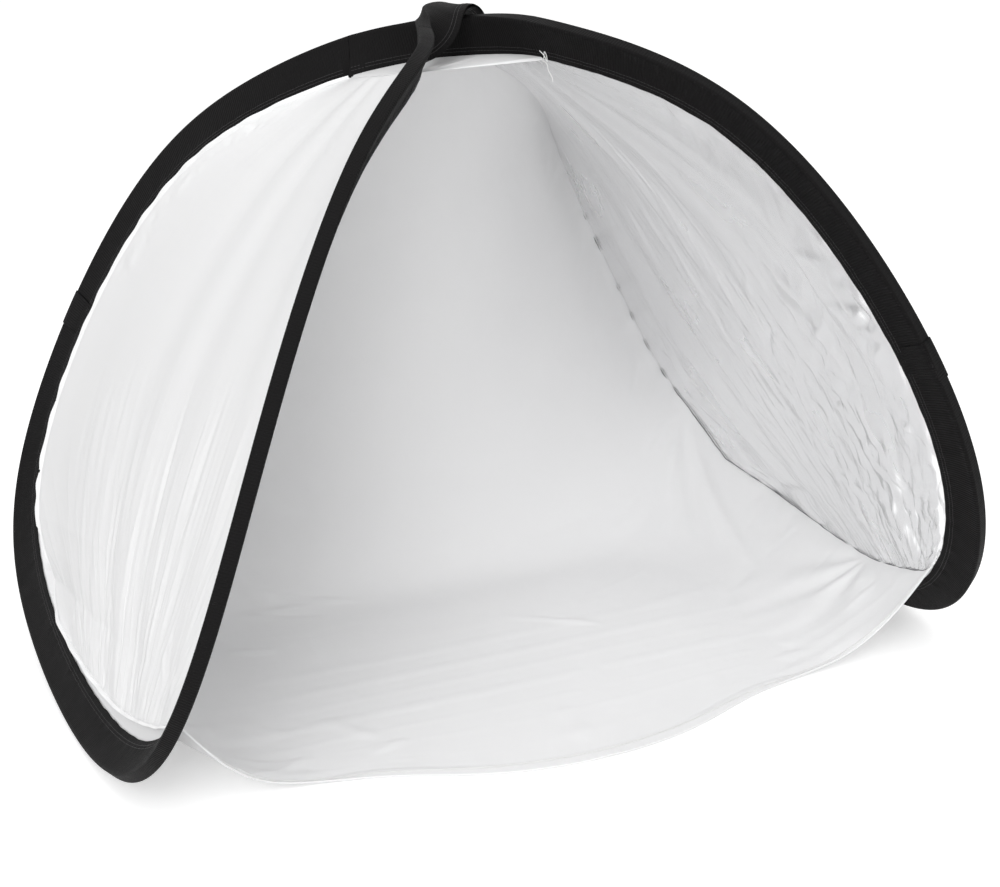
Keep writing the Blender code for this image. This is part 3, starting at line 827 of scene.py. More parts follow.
STRANDS = [(lobe, lobe.name, end, run) for lobe in (LEFT, RIGHT) for end, run in side_runs(lobe).items()]
STRANDS += [(None, "crown", "under", crown_run(LEFT, RIGHT)), (None, "crown", "over", crown_run(RIGHT, LEFT))]
SEEDS = (11, 23, 37, 41, 53, 67)
for (lobe, part, end, stations), seed in zip(STRANDS, SEEDS):
    tape = loft(f"{part}_webbing_{end}", tape_rings(stations, seed), TAPE_SECTION, webbing.material)
    held(tape, lobe, "black_webbing", f"{part}_binding_{end}")

# %% [markdown]
# ## Stitches
#
# Two rows of lockstitch run along the tape near its edge, on both faces. A texture could fake
# them, but a real thread stands up from the tape and dips into it at each needle hole. So each
# row is a thin tube whose height rises and falls once a stitch.

# %% A stitched thread
STITCH, THREAD_RADIUS, STITCH_POINTS = 0.0029, 0.00022, 4
RUN_END = 0.003
STITCH_RISE, STITCH_SUNK, STITCH_ROUNDING = 1.7 * THREAD_RADIUS, 1.2 * THREAD_RADIUS, 0.8
ROW_DEPTHS = (BINDING_DEPTH - 0.0024, BINDING_DEPTH - 0.0048)
FACE_POINTS = np.array([place for place in tape_face if place[1] > 0 and place[0] > 0.002])
FACE_POINTS = FACE_POINTS[np.argsort(FACE_POINTS[:, 0])]


def thread_tube(name, path, upright, look, radius=THREAD_RADIUS, sides=5):
    """A round thread along a path. upright gives a direction square to the path at each point."""
    ahead = units(np.gradient(path, axis=0))
    beside = units(np.cross(ahead, upright))
    above = np.cross(beside, ahead)
    turns = np.linspace(0, 2 * np.pi, sides, endpoint=False)
    circle = [(radius * math.cos(turn), radius * math.sin(turn)) for turn in turns]
    rings = np.array([path + x * beside + y * above for x, y in circle]).transpose(1, 0, 2)
    return loft(name, rings, circle, look, sharp=80.0)


def at_places(places, along, points):
    """Points of a line at some distances along it."""
    return np.stack([np.interp(places, along, points[:, axis]) for axis in range(3)], axis=1)


def stitch_places(length, end):
    return np.arange(end, length - end, STITCH / STITCH_POINTS)


def stitch_arch(places):
    """0 at each needle hole and 1 half way between two holes."""
    return np.sin(np.pi * ((places / STITCH) % 1.0))


def stitch_row(name, stations, seed, depth, face):
    """One row of stitches on one face of the tape. face is 1 or -1."""
    along = run_lengths(each(stations, "origin"))
    places = stitch_places(along[-1], RUN_END)
    origin, inward, across = (at_places(places, along, each(stations, way)) for way in ("origin", "inward", "across"))
    proud = np.interp(depth, *FACE_POINTS.T) + gathered(places, depth, seed)
    proud = proud + STITCH_RISE * stitch_arch(places) ** STITCH_ROUNDING - STITCH_SUNK
    path = origin + inward * depth + across * face * proud[:, None]
    return thread_tube(name, path, across * face, black_thread.material)


# %% Two rows on both faces of every length
def joined(name, things):
    """Several pieces made into one."""
    for thing in things:
        thing.select_set(True)
    bpy.context.view_layer.objects.active = things[0]
    bpy.ops.object.join()
    things[0].name = name
    things[0].select_set(False)
    return things[0]


def stitched(name, stations, seed):
    rows = [(depth, face) for depth in ROW_DEPTHS for face in (-1, 1)]
    return joined(name, [stitch_row(f"row_{index}", stations, seed, depth, face)
                         for index, (depth, face) in enumerate(rows)])


bpy.ops.object.select_all(action="DESELECT")
for (lobe, part, end, stations), seed in zip(STRANDS, SEEDS):
    held(stitched(f"{part}_stitching_{end}", stations, seed), lobe, "black_webbing")
print("stitches:", round(8 * loop_length / STITCH))

# %% [markdown]
# ## Steel inside the webbing
#
# The steel can't be seen on the finished tent. It is still modelled, because the webbing takes
# its shape from it. Each side has two lengths of flat strip that end in a crimped sleeve.

# %% Strips and ferrules
STRIP_CORNERS = [(-0.5, -0.5), (0.5, -0.5), (0.5, 0.5), (-0.5, 0.5)]
strip_section = [(x * STRIP_THICKNESS, y * STRIP_WIDTH) for x, y in STRIP_CORNERS]
FERRULE_HALF_LENGTH = 0.016


def ferrule_section():
    """A flat sleeve round the strip, open along one face where its edges meet."""
    wide, thick = STRIP_WIDTH / 2 + FIT, STRIP_THICKNESS / 2 + FIT
    inner = [(thick, FIT), (thick, wide), (-thick, wide), (-thick, -wide), (thick, -wide), (thick, -FIT)]
    outer = []
    for depth, side in inner:
        spread = side if abs(side) <= FIT else side + math.copysign(FERRULE_WALL, side)
        outer.append((depth + math.copysign(FERRULE_WALL, depth), spread))
    return outer + inner[::-1]


def sleeve_run(lobe, reach, count=12):
    half = reach / loop_length
    return [Station(lobe, share) for share in np.linspace(join_share(lobe) - half, join_share(lobe) + half, count)]


for lobe, part, end, stations in STRANDS:
    strip = loft(f"{part}_steel_{end}", rings_of(stations, strip_section), strip_section, spring_steel.material)
    held(strip, lobe, "spring_steel", f"{part}_strip_{end}")
for lobe in (LEFT, RIGHT):
    rings = rings_of(sleeve_run(lobe, FERRULE_HALF_LENGTH), ferrule_section())
    sleeve = loft(f"{lobe.name}_sleeve", rings, ferrule_section(), ferrule_metal.material)
    held(sleeve, lobe, "ferrule", f"{lobe.name}_ferrule")

# %% [markdown]
# ## The laps
#
# Where the two ends of the webbing meet, a short length is folded over the join. Its upper end
# shows as one small step in the outline. Its lower end is pressed flat, so it hardly shows.

# %% Laps
LAP_WEB, LAP_HALF_LENGTH = 0.0009, 0.014
LAP_INSIDE = TAPE + FIT
LAP_SUNK = LAP_WEB + FIT + 0.00015
LAP_RINGS, LAP_NOSE, LAP_LOWER_END = 16, 0.004, 0.35


def lap_rings(lobe):
    """The lap's rings, thinned all along its faces and on the nose beyond its upper end."""
    run = sleeve_run(lobe, LAP_HALF_LENGTH, LAP_RINGS)
    run = run if lobe.side > 0 else run[::-1]
    face = np.array(tape_outside(LAP_INSIDE + LAP_WEB))
    inside = np.array(both_sides(fold_corners(LAP_INSIDE - FIT / 2))[::-1])
    rings = []
    for share, station in zip(np.linspace(0.0, 1.0, len(run)), run):
        nose = LAP_SUNK * (ease(share) if share > 0.0 else LAP_LOWER_END)
        flat = LAP_SUNK * (1.0 - 0.25 * math.sin(math.pi * share))
        thinned = np.stack([np.clip(face[:, 0], -1, 0) / LAP_NOSE * nose, np.sign(face[:, 1]) * flat], axis=1)
        rings.append(station.ring(np.concatenate([face - thinned, inside])))
    return np.array(rings), np.concatenate([face, inside])


for lobe in (LEFT, RIGHT):
    rings, section = lap_rings(lobe)
    lap = loft(f"{lobe.name}_lap", rings, section, webbing.material)
    held(lap, lobe, "black_webbing", f"{lobe.name}_binding_lap")

# %% [markdown]
# ## The cloth's shape
#
# Cloth pulled tight between curved edges takes nearly the shape of a soap film. The exact model
# finds it on a coarse net: each point moves again and again to the average of its neighbours,
# and where the sweep reaches the table the floor stops it. The same few lines here give the
# same surface. A cubic spline through the net then gives as many points as the folds need.

# %% Drawing a net taut
SWEEP_COLUMNS, SETTLE_STEPS = 18, 900
CAD_FABRIC = 0.0007


def patch(top, bottom, left, right):
    """A grid of points inside four edges (a Coons patch)."""
    top, bottom, left, right = (np.array(edge) for edge in (top, bottom, left, right))
    down = np.linspace(0.0, 1.0, len(left))[:, None, None]
    over = np.linspace(0.0, 1.0, len(top))[None, :, None]
    ruled = (1 - over) * left[:, None] + over * right[:, None] + (1 - down) * top[None] + down * bottom[None]
    corners = (1 - down) * ((1 - over) * top[0] + over * top[-1])
    return ruled - corners - down * ((1 - over) * bottom[0] + over * bottom[-1])


def settle(grid, row_weights=0.0, floor=None):
    grid = grid.copy()
    for _ in range(SETTLE_STEPS):
        middle = grid[:-2, 1:-1] + grid[2:, 1:-1] + grid[1:-1, :-2] + grid[1:-1, 2:]
        grid[1:-1, 1:-1] = middle / 4.0
        grid[1:-1, 1:-1, 2] -= row_weights
        if floor is not None:
            grid[1:-1, 1:-1, 2] = np.maximum(grid[1:-1, 1:-1, 2], floor)
    return grid


def refiner(coarse, fine):
    """A matrix that reads a cubic spline through coarse rows at evenly spaced fine rows."""
    return samples(free_spline(np.eye(coarse)), fine)


def refine(grid, top, bottom, left, right):
    """A finer grid through a net, whose edges are moved to four exact lines."""
    fine = np.einsum("ri,ijk,cj->rck", refiner(len(grid), len(left)), grid, refiner(len(grid[0]), len(top)))
    return fine + patch(top - fine[0], bottom - fine[-1], left - fine[:, 0], right - fine[:, -1])


def straight(first, last, count):
    shares = np.linspace(0.0, 1.0, count)[:, None]
    return first * (1 - shares) + last * shares


def normals(grid):
    cross = np.cross(np.gradient(grid, axis=0), np.gradient(grid, axis=1))
    return cross / np.maximum(np.linalg.norm(cross, axis=2, keepdims=True), 1e-12)


# %% Pieces of cloth
def cloth(name, grids, look):
    """Thin cloth: grids of points that share edges, each with its UV distances down and over."""
    points, faces, uvs = [], [], []
    for grid, down, over in grids:
        start = sum(len(part) for part in points)
        points.append(grid.reshape(-1, 3))
        faces += (np.array(grid_faces(*grid.shape[:2])) + start).tolist()
        uvs.append(grid_uvs(down, over))
    thing = tidied(add_piece(name, np.concatenate(points), faces, np.concatenate(uvs), look), 70.0)
    thickness = thing.modifiers.new("thickness", "SOLIDIFY")
    thickness.thickness = FABRIC
    thickness.offset = 0.0
    mesh = bpy.data.meshes.new_from_object(thing.evaluated_get(bpy.context.evaluated_depsgraph_get()))
    thing.modifiers.clear()
    thing.data = mesh
    mesh.set_sharp_from_angle(angle=math.radians(60.0))
    return thing


# %% [markdown]
# ## Folds and creases
#
# The folds are what make the cloth look like cloth. Each is a line on the flat cloth with a
# length, a width and a height, and the surface is raised or lowered along it. A family of folds
# shares a region and a direction: long streaks where the cloth is pulled, short puckers at the
# stitches, sharp creases where the foil has been crushed.

# %% Families of folds
class Folds:
    """Heights over a grid of cloth. x runs over and y runs down, in metres from the top middle."""

    def __init__(self, grid, seed):
        rows, columns, _ = grid.shape
        self.width = run_lengths(grid[rows // 2])[-1]
        self.height = run_lengths(grid[:, columns // 2])[-1]
        self.u, self.v = np.meshgrid(np.linspace(0, 1, columns), np.linspace(0, 1, rows))
        self.x, self.y = (self.u - 0.5) * self.width, self.v * self.height
        self.lift = np.zeros((rows, columns))
        self.draw = np.random.default_rng(seed)

    def fold(self, u, v, degrees, length, width, height, bow=0.0, sharp=False):
        """One fold that starts at a share of the cloth and runs at an angle from straight down."""
        turn = math.radians(degrees)
        x, y = self.x - (u - 0.5) * self.width, self.y - v * self.height
        share = (x * math.sin(turn) + y * math.cos(turn)) / length
        arch = 4 * share * (1 - share)
        away = x * math.cos(turn) - y * math.sin(turn) - bow * length * arch
        taper = np.clip(arch, 0.0, 1.0) ** 1.5
        across = np.clip(1 - np.abs(away) / (1.8 * width), 0, 1) if sharp else np.exp(-((away / width) ** 2))
        self.lift += height * taper * across

    def folds(self, rows, turn=1.0):
        for u, v, degrees, length, width, height, bow in rows:
            self.fold(u, v, turn * degrees, length, width, height, turn * bow)

    def family(self, count, u, v, degrees, length, width, height, bow=0.05, sharp=False):
        """Many folds with values drawn between pairs of limits. Half of them point the other way."""
        for _ in range(count):
            pick = [self.draw.uniform(*sorted(limits)) for limits in (u, v, degrees, length, width, height)]
            pick[5] *= self.draw.choice([-1.0, 1.0])
            self.fold(*pick, bow=self.draw.uniform(-bow, bow), sharp=sharp)

    def ripple(self, height, lengths, degrees, seed, where=1.0):
        """A broad unevenness: waves of cloth across one direction."""
        turn = math.radians(degrees)
        across = self.x * math.cos(turn) + self.y * math.sin(turn)
        beside = self.y * math.cos(turn) - self.x * math.sin(turn)
        bent = across + 0.25 * lengths[0] * irregular(beside, seed + 5, 4 * lengths[0], 8 * lengths[1], 3)
        self.lift += where * height * irregular(bent, seed, *lengths)

    def pillow(self, height, rear, reach=0.004):
        """Cloth puffs up beside a seam, more in some places than in others."""
        away = (1 - self.u if rear else self.u) * self.width / reach
        puff = 0.65 + 0.35 * irregular(self.y, 90 + rear, 0.018, 0.045)
        self.lift += height * puff * away * np.exp(1 - away)

    def faded(self, top=0.004, bottom=0.004, sides=0.004):
        """The heights, brought to nothing at the edges over some distances in metres."""
        fade = np.ones_like(self.lift)
        for reach, away in ((top, self.y), (bottom, self.height - self.y),
                            (sides, self.u * self.width), (sides, (1 - self.u) * self.width)):
            if reach:
                fade = fade * np.clip(away / reach, 0, 1) ** 0.8
        return self.lift * fade


# %% [markdown]
# ## The side walls
#
# Each wall is one piece of cloth: a taut field, and a margin that runs on into the fold of the
# webbing. The left wall is thin and white and shows a fan of fine creases that run down into
# the foot. The right wall is the silver one. Its metal coat makes even small creases visible.

# %% Margins inside the webbing
EDGE_ROWS, EDGE_COLUMNS = 241, 201


def margin(lobe, first, last, count):
    """Cloth from inside the fold out to the seam, along one stretch of the loop."""
    front, rear, axis = lobe.fold_line()
    stations = [Station(lobe, share) for share in np.linspace(first, last, count)]
    if first == FRONT_NOTCH:
        stations[0].cut(front, axis, SPLIT_GAP / 2)
    if last == REAR_NOTCH:
        stations[-1].cut(rear, axis, -SPLIT_GAP / 2)
    depths = (WAIST_DEPTH + FIT, WAIST_DEPTH + FABRIC_TUCK / 2, BINDING_DEPTH, BINDING_DEPTH + SEAM_ALLOWANCE)
    rows = []
    for station in stations:
        row = station.ring([(depth, 0.0) for depth in depths])
        rows.append(np.vstack([row, row[-1] + lobe.seam_pull(station.share)]))
    return np.array(rows)


def wall_net(lobe):
    seam = [lobe.seam(share) for share in lobe_shares()]
    left, right = seam[: SIDE_ROWS + 1], seam[SIDE_ROWS + FOOT_COLUMNS:][::-1]
    foot = seam[SIDE_ROWS: SIDE_ROWS + FOOT_COLUMNS + 1]
    return settle(patch(straight(left[0], right[0], FOOT_COLUMNS + 1), foot, left, right))


def wall_parts(lobe):
    """The wall's fine field and its three margins: front, foot and rear, each from the top or left."""
    front = margin(lobe, FRONT_NOTCH, HEM_START, EDGE_ROWS)
    foot = margin(lobe, HEM_START, BACK_FOOT, EDGE_COLUMNS)
    rear = margin(lobe, BACK_FOOT, REAR_NOTCH, EDGE_ROWS)[::-1]
    top = straight(front[0, -1], rear[0, -1], EDGE_COLUMNS)
    return refine(wall_net(lobe), top, foot[:, -1], front[:, -1], rear[:, -1]), (front, foot, rear)


# %% Folds of the silver wall
# Families: how many, then the limits of u, v, degrees, length, width and height, then bow and sharp.
SILVER_FAMILIES = (
    (60, (0.30, 0.85), (0.12, 0.55), (0, 14), (0.06, 0.16), (0.0026, 0.0044), (0.0003, 0.0008)),
    (30, (0.00, 0.03), (0.05, 0.50), (35, 60), (0.025, 0.070), (0.0026, 0.0040), (0.0003, 0.0008)),
    (34, (0.00, 0.02), (0.50, 0.98), (40, 110), (0.015, 0.050), (0.0024, 0.0034), (0.0008, 0.0018), 0.05, True),
    (80, (0.00, 0.40), (0.44, 0.93), (-30, 65), (0.020, 0.080), (0.0024, 0.0040), (0.0006, 0.0019), 0.12, True),
    (30, (0.00, 0.60), (0.84, 0.98), (-70, 80), (0.012, 0.045), (0.0024, 0.0034), (0.0006, 0.0017), 0.15, True),
)
# Single folds: u, v, degrees, length, width, height and bow. All but the last make the seam's pinch.
SILVER_FOLDS = (
    (0.975, 0.805, -168, 0.060, 0.0045, 0.0060, 0.05), (0.945, 0.800, -164, 0.075, 0.0045, -0.0040, 0.05),
    (0.975, 0.815, -14, 0.085, 0.0050, -0.0045, -0.04), (0.950, 0.820, -26, 0.090, 0.0045, 0.0035, -0.04),
    (0.960, 0.805, -120, 0.040, 0.0035, 0.0020, 0.05), (0.970, 0.955, -97, 0.190, 0.0070, 0.0038, 0.03),
)


def silver_folds(grid):
    folds = Folds(grid, 5)
    print("silver wall:", round(folds.width, 3), "by", round(folds.height, 3), "m")
    for family in SILVER_FAMILIES:
        folds.family(*family)
    folds.folds(SILVER_FOLDS)
    folds.ripple(0.0011, (0.05, 0.14), 8, 3)
    folds.pillow(-0.0005, rear=True)
    folds.pillow(-0.0008, rear=False)
    return folds.faded()


# %% Folds of the thin wall
THIN_FAMILIES = (
    (34, (0.97, 1.00), (0.06, 0.45), (-75, -35), (0.012, 0.034), (0.0024, 0.0034), (0.0004, 0.0010)),
    (28, (0.00, 0.03), (0.10, 0.95), (35, 80), (0.010, 0.028), (0.0024, 0.0034), (0.0003, 0.0008)),
    (26, (0.10, 0.90), (0.86, 0.97), (-60, 60), (0.012, 0.045), (0.0024, 0.0036), (0.0005, 0.0012)),
)


def thin_wall_folds(grid):
    folds = Folds(grid, 8)
    print("thin wall:", round(folds.width, 3), "by", round(folds.height, 3), "m")
    for degrees in np.linspace(-9, 9, 18):
        folds.family(3, (0.35 - degrees / 22, 0.55 - degrees / 22), (0.52, 0.74), (degrees - 3, degrees + 3),
                     (0.08, 0.18), (0.0026, 0.0042), (0.0003, 0.0009), 0.02)
    for family in THIN_FAMILIES:
        folds.family(*family)
    folds.ripple(0.0009, (0.04, 0.12), 5, 14, where=0.35 + 0.65 * folds.v)
    for rear in (True, False):
        folds.pillow(0.0007, rear)
    return folds.faded()


# %% Build the two walls
for lobe, look, shape, slot in ((LEFT, thin_cloth, thin_wall_folds, "translucent_cloth"),
                                (RIGHT, silver_cloth, silver_folds, "silver_cloth")):
    field, margins = wall_parts(lobe)
    field = field + normals(field) * (shape(field) * lobe.side)[..., None]
    grids = [(field, run_lengths(field[:, EDGE_COLUMNS // 2]), run_lengths(field[EDGE_ROWS // 2]))]
    grids += [(part, run_lengths(part[:, 2]), run_lengths(part[0])) for part in margins]
    wall = cloth(f"{lobe.name}_wall_cloth", grids, look.material)
    held(wall, lobe, slot, f"{lobe.name}_wall")

# %% [markdown]
# ## The sweep
#
# Background and floor are one length of cloth. It hangs from the rear edge of the crown, is sewn
# to both walls, and lies on the table. The two sides of the hoop fold towards each other, each
# about its own line, so the sweep is made in two halves that meet in the middle.

# %% The sweep's net
HEM_SHARES = (
    (0.810, -0.755, 0.090), (0.687, -0.728, 0.021), (0.467, -0.752, 0.000),
    (0.248, -0.850, 0.000), (0.000, -0.895, 0.000),
)
BACK_PULL, FLOOR_PULL = 0.00012 * HOOP_HEIGHT, 0.0045 * HOOP_HEIGHT
FLOOR_START, FLOOR_FULL = 0.24, 0.54
LIE_HEIGHT = CAD_FABRIC / 2


def hem_line(count):
    """The floor's free front edge, from the left foot to the right foot."""
    half = [RIGHT.seam(HEM_START)]
    for across, along, up in HEM_SHARES:
        height = max(up * HOOP_HEIGHT, LIE_HEIGHT)
        half.append(np.array([across * HALF_WIDTH, along * FRONT_REACH, height]))
    knots = [place * (-1, 1, 1) for place in half] + half[-2::-1]
    return kept_above(samples(free_spline(knots), count), LIE_HEIGHT)


def sweep_net():
    shares = lobe_shares()[SIDE_ROWS:][::-1]
    right, left = ([lobe.seam(share) for share in shares] for lobe in (RIGHT, LEFT))
    top = straight(left[0], right[0], SWEEP_COLUMNS + 1)
    grid = patch(top, hem_line(SWEEP_COLUMNS + 1), left, right)
    rows = np.arange(1, len(grid) - 1) / (len(grid) - 1)
    flat = ease((rows - FLOOR_START) / (FLOOR_FULL - FLOOR_START))
    weights = (1 - flat) * BACK_PULL + flat * FLOOR_PULL
    return settle(grid, weights[:, None], LIE_HEIGHT)


# %% Fine sweep, before its folds
SWEEP_FINE_ROWS, SWEEP_FINE_COLUMNS = 301, 221
SEAM_STEP, SEAM_SCALLOP = 0.0016, 0.0005
ROOM_MIDDLE = np.array([0.0, -0.05, 0.20])
REAR_SHARE = SIDE_ROWS / (SIDE_ROWS + FOOT_COLUMNS)


def seam_shares(count):
    """Places round the loop for evenly spaced rows of the sweep, from the rear notch to the hem."""
    places = np.linspace(0.0, 1.0, count)
    return np.interp(places, (0.0, REAR_SHARE, 1.0), (REAR_NOTCH, BACK_FOOT, HEM_START))


def outward(lobe, share):
    """Direction away from the tent's inside, square to the webbing's face."""
    station = Station(lobe, share)
    return station.across * math.copysign(1.0, station.across.dot(station.origin - ROOM_MIDDLE))


def outwards(lobe, shares):
    return np.array([outward(lobe, share) for share in shares])


def seams(lobe, shares):
    return np.array([lobe.seam(share) for share in shares])


def sweep_surface():
    shares = seam_shares(SWEEP_FINE_ROWS)
    steps = SEAM_STEP + SEAM_SCALLOP * irregular(shares * loop_length, 77, 0.022, 0.045)
    sides = [seams(lobe, shares) + outwards(lobe, shares) * steps[:, None] for lobe in (LEFT, RIGHT)]
    top = straight(sides[0][0], sides[1][0], SWEEP_FINE_COLUMNS)
    hem = hem_line(SWEEP_FINE_COLUMNS)
    hem[0], hem[-1] = sides[0][-1], sides[1][-1]
    return refine(sweep_net(), top, hem, *sides)


def eased_bend(grid, centre=0.55, reach=0.16, window=33):
    """Soften the bend where the cloth leaves the table."""
    weights = np.hanning(window + 2)[1:-1]
    half = window // 2
    padded = np.concatenate([grid[:1]] * half + [grid] + [grid[-1:]] * half)
    smooth = sum(weight * padded[index:index + len(grid)] for index, weight in enumerate(weights)) / weights.sum()
    rows, columns = np.linspace(0, 1, len(grid))[:, None], np.linspace(0, 1, grid.shape[1])[None]
    near = np.exp(-(((rows - centre) / reach) ** 2)) * np.clip(np.minimum(columns, 1 - columns) / 0.05, 0, 1)
    near = near * np.clip(np.minimum(rows, 1 - rows) / 0.1, 0, 1)
    return grid + (smooth - grid) * near[..., None]


# %% Folds of the sweep
FLOOR_FOLD_HEIGHT, FLOOR_FOLD_REACH, FLOOR_FOLD_WIDTH = 0.0045, 0.120, 0.030
FLOOR_FOLDS_ROUND = 8


def foot_folds(grid):
    """Soft folds that run out of each foot across the floor."""
    lift = np.zeros(grid.shape[:2])
    for lobe in (LEFT, RIGHT):
        offset = grid[..., :2] - lobe.seam((HEM_START + BACK_FOOT) / 2)[:2]
        away = np.linalg.norm(offset, axis=2)
        turn = np.arctan2(offset[..., 1], -lobe.side * offset[..., 0])
        near = np.clip(1 - away / FLOOR_FOLD_REACH, 0, 1) * np.clip(away / FLOOR_FOLD_WIDTH, 0, 1)
        lift += FLOOR_FOLD_HEIGHT * (0.5 + 0.5 * np.cos(turn * FLOOR_FOLDS_ROUND)) * near
    return lift


# Folds at each foot: degrees, length, width and height. They are drawn on both sides, turned inward.
FOOT_FOLDS = (
    (20, 0.17, 0.0060, 0.0042), (38, 0.12, 0.0050, -0.0034), (58, 0.08, 0.0045, 0.0026), (100, 0.06, 0.0040, 0.0018),
)
SWEEP_FAMILIES = (
    (18, (0.04, 0.22), (0.46, 0.64), (55, 110), (0.05, 0.13), (0.004, 0.008), (0.0012, 0.0026), 0.05),
    (9, (0.80, 0.95), (0.50, 0.70), (-110, -60), (0.05, 0.13), (0.004, 0.008), (0.0006, 0.0013), 0.04),
    (14, (0.10, 0.80), (0.10, 0.42), (75, 105), (0.06, 0.18), (0.004, 0.008), (0.0002, 0.0006), 0.03),
    (16, (0.06, 0.80), (0.60, 0.92), (-70, 60), (0.05, 0.14), (0.004, 0.009), (0.0006, 0.0014), 0.08),
)


def sweep_folds(grid):
    folds = Folds(grid, 12)
    for start, edge, turn in ((0.004, (0.0, 0.03), 1.0), (0.996, (0.97, 1.0), -1.0)):
        folds.folds([(start, 0.50, *fold, 0.06) for fold in FOOT_FOLDS], turn)
        folds.family(26, edge, (0.10, 0.92), (turn * 60, turn * 110), (0.02, 0.06),
                     (0.0018, 0.0040), (0.0003, 0.0009))
    for family in SWEEP_FAMILIES:
        folds.family(*family)
    folds.ripple(0.0006, (0.09, 0.20), 85, 31, where=np.clip(1.2 - 2 * folds.v, 0, 1))
    for rear in (True, False):
        folds.pillow(0.0006, rear)
    lift = folds.faded(top=0.01, bottom=0.0)
    return lift + foot_folds(grid) * np.clip(folds.u / 0.02, 0, 1) * np.clip((1 - folds.u) / 0.02, 0, 1)


# %% Hem: the floor's front edge, folded under and stitched
HEM_DEPTH, HEM_LIFT, HEM_EASE, HEM_TURNS = 0.009, 0.0010, 0.003, 9
HEM_ROW, HEM_START_BACK = 4, 0.0004
HEM_UNDER_SHARES = (0.10, 0.25, 0.5, 0.75, 1.0)


def with_hem(grid):
    """Turn the cloth round under itself at the edge, in a small half circle."""
    edge, radius = grid[-1], HEM_LIFT / 2
    back = units(grid[-HEM_ROW] - edge)
    down = normals(grid)[-1]
    down = down * np.sign(-down[:, 2:])
    rows = [edge + back * (radius + HEM_START_BACK)]
    for turn in np.linspace(0.0, math.pi, HEM_TURNS):
        rows.append(edge + back * radius * (1 - math.sin(turn)) + down * radius * (1 - math.cos(turn)))
    rows += [edge + back * (HEM_DEPTH * share) + down * HEM_LIFT for share in HEM_UNDER_SHARES]
    return np.concatenate([grid[:-1], np.array(rows)])


def lifted_hem(grid):
    """Raise the cloth by one thickness over the folded hem."""
    away = np.cumsum(np.linalg.norm(np.diff(grid[::-1], axis=0), axis=2), axis=0)[::-1]
    away = np.concatenate([away, np.zeros((1, grid.shape[1]))])
    result = grid.copy()
    result[..., 2] += HEM_LIFT * ease((HEM_DEPTH + HEM_EASE - away) / HEM_EASE)
    return result


# %% Flanges: the seam's allowance, turned outward behind the wall
FLANGE, FLANGE_RISE = 0.0022, 0.0004


def with_flanges(grid, shares):
    """Add a column outside each side edge that turns back along the wall's margin."""
    sides = []
    for lobe, column in ((LEFT, 0), (RIGHT, -1)):
        inward = np.array([lobe.inward(share) for share in shares])
        tips = grid[:, column] + outwards(lobe, shares) * FLANGE_RISE - inward * FLANGE
        sides.append(tips[:, None])
    return np.concatenate([sides[0], grid, sides[1]], axis=1)


# %% Build the sweep
surface = eased_bend(sweep_surface())
upward = normals(surface)
upward *= np.sign(upward[SWEEP_FINE_ROWS - 30, SWEEP_FINE_COLUMNS // 2, 2])
surface = lifted_hem(kept_above(surface + upward * sweep_folds(surface)[..., None], LIE_HEIGHT))
surface[-1] = kept_above(surface[-1], LIE_HEIGHT + HEM_LIFT)
hemmed = kept_above(with_hem(surface), LIE_HEIGHT)
shares = np.concatenate([seam_shares(SWEEP_FINE_ROWS), np.full(len(hemmed) - SWEEP_FINE_ROWS, HEM_START)])
whole = with_flanges(hemmed, shares)
half = whole.shape[1] // 2
down, over = run_lengths(whole[:, half]), run_lengths(whole[len(whole) // 2])
print("sweep:", whole.shape[0], "rows by", whole.shape[1], "columns, length", round(float(down[-1]), 3), "m")

for lobe, columns in ((LEFT, slice(0, half + 1)), (RIGHT, slice(half, None))):
    sweep = cloth(f"{lobe.name}_sweep_cloth", [(whole[:, columns], down, over[columns])], white_cloth.material)
    held(sweep, lobe, "white_cloth", "sweep")

# %% [markdown]
# ## Painted seam shade, hem stitches and notch tacks
#
# Where wall and sweep are joined, the shade in the seam is painted: a thin dark grey tube lies
# along it as one line that comes and goes as the cloth puffs up beside it. Half way up, where the
# cloth puffs up most, this line of painted shade is carried further out. The hem has a row of white
# stitches. At the front notches, where two lengths of webbing meet, a few turns of white thread
# close the gap and leave a loose tail.

# %% Painted shade in the seam between wall and sweep: a dark grey tube
SEAM_SHADE_OUT, SEAM_SHADE_WANDER, SEAM_SHADE_RADIUS = 0.0010, 0.0003, 0.00042
SEAM_SHADE_FURTHER, FURTHER_MIDDLE, FURTHER_REACH = 0.0017, 0.69, 0.13
SEAM_SHADE_FLOOR = 0.0008
# Painted shade: a thin dark grey tube along each seam, set just inside the room, stands for the seam's shadow.
for lobe, column in ((LEFT, 0), (RIGHT, -1)):
    places = seam_shares(SWEEP_FINE_ROWS)[2:-2]
    seam = seams(lobe, places)
    inside = units(upward[2:-2, column] - outwards(lobe, places))
    out = SEAM_SHADE_OUT + SEAM_SHADE_WANDER * irregular(run_lengths(seam), 83, 0.012, 0.040)
    out = out + SEAM_SHADE_FURTHER * np.exp(-((places - FURTHER_MIDDLE) / FURTHER_REACH) ** 4)
    path = kept_above(seam + inside * out[:, None], SEAM_SHADE_FLOOR)
    thread = thread_tube(f"{lobe.name}_seam_thread", path, inside, seam_shade_line.material, SEAM_SHADE_RADIUS)
    held(thread, lobe, "white_cloth")

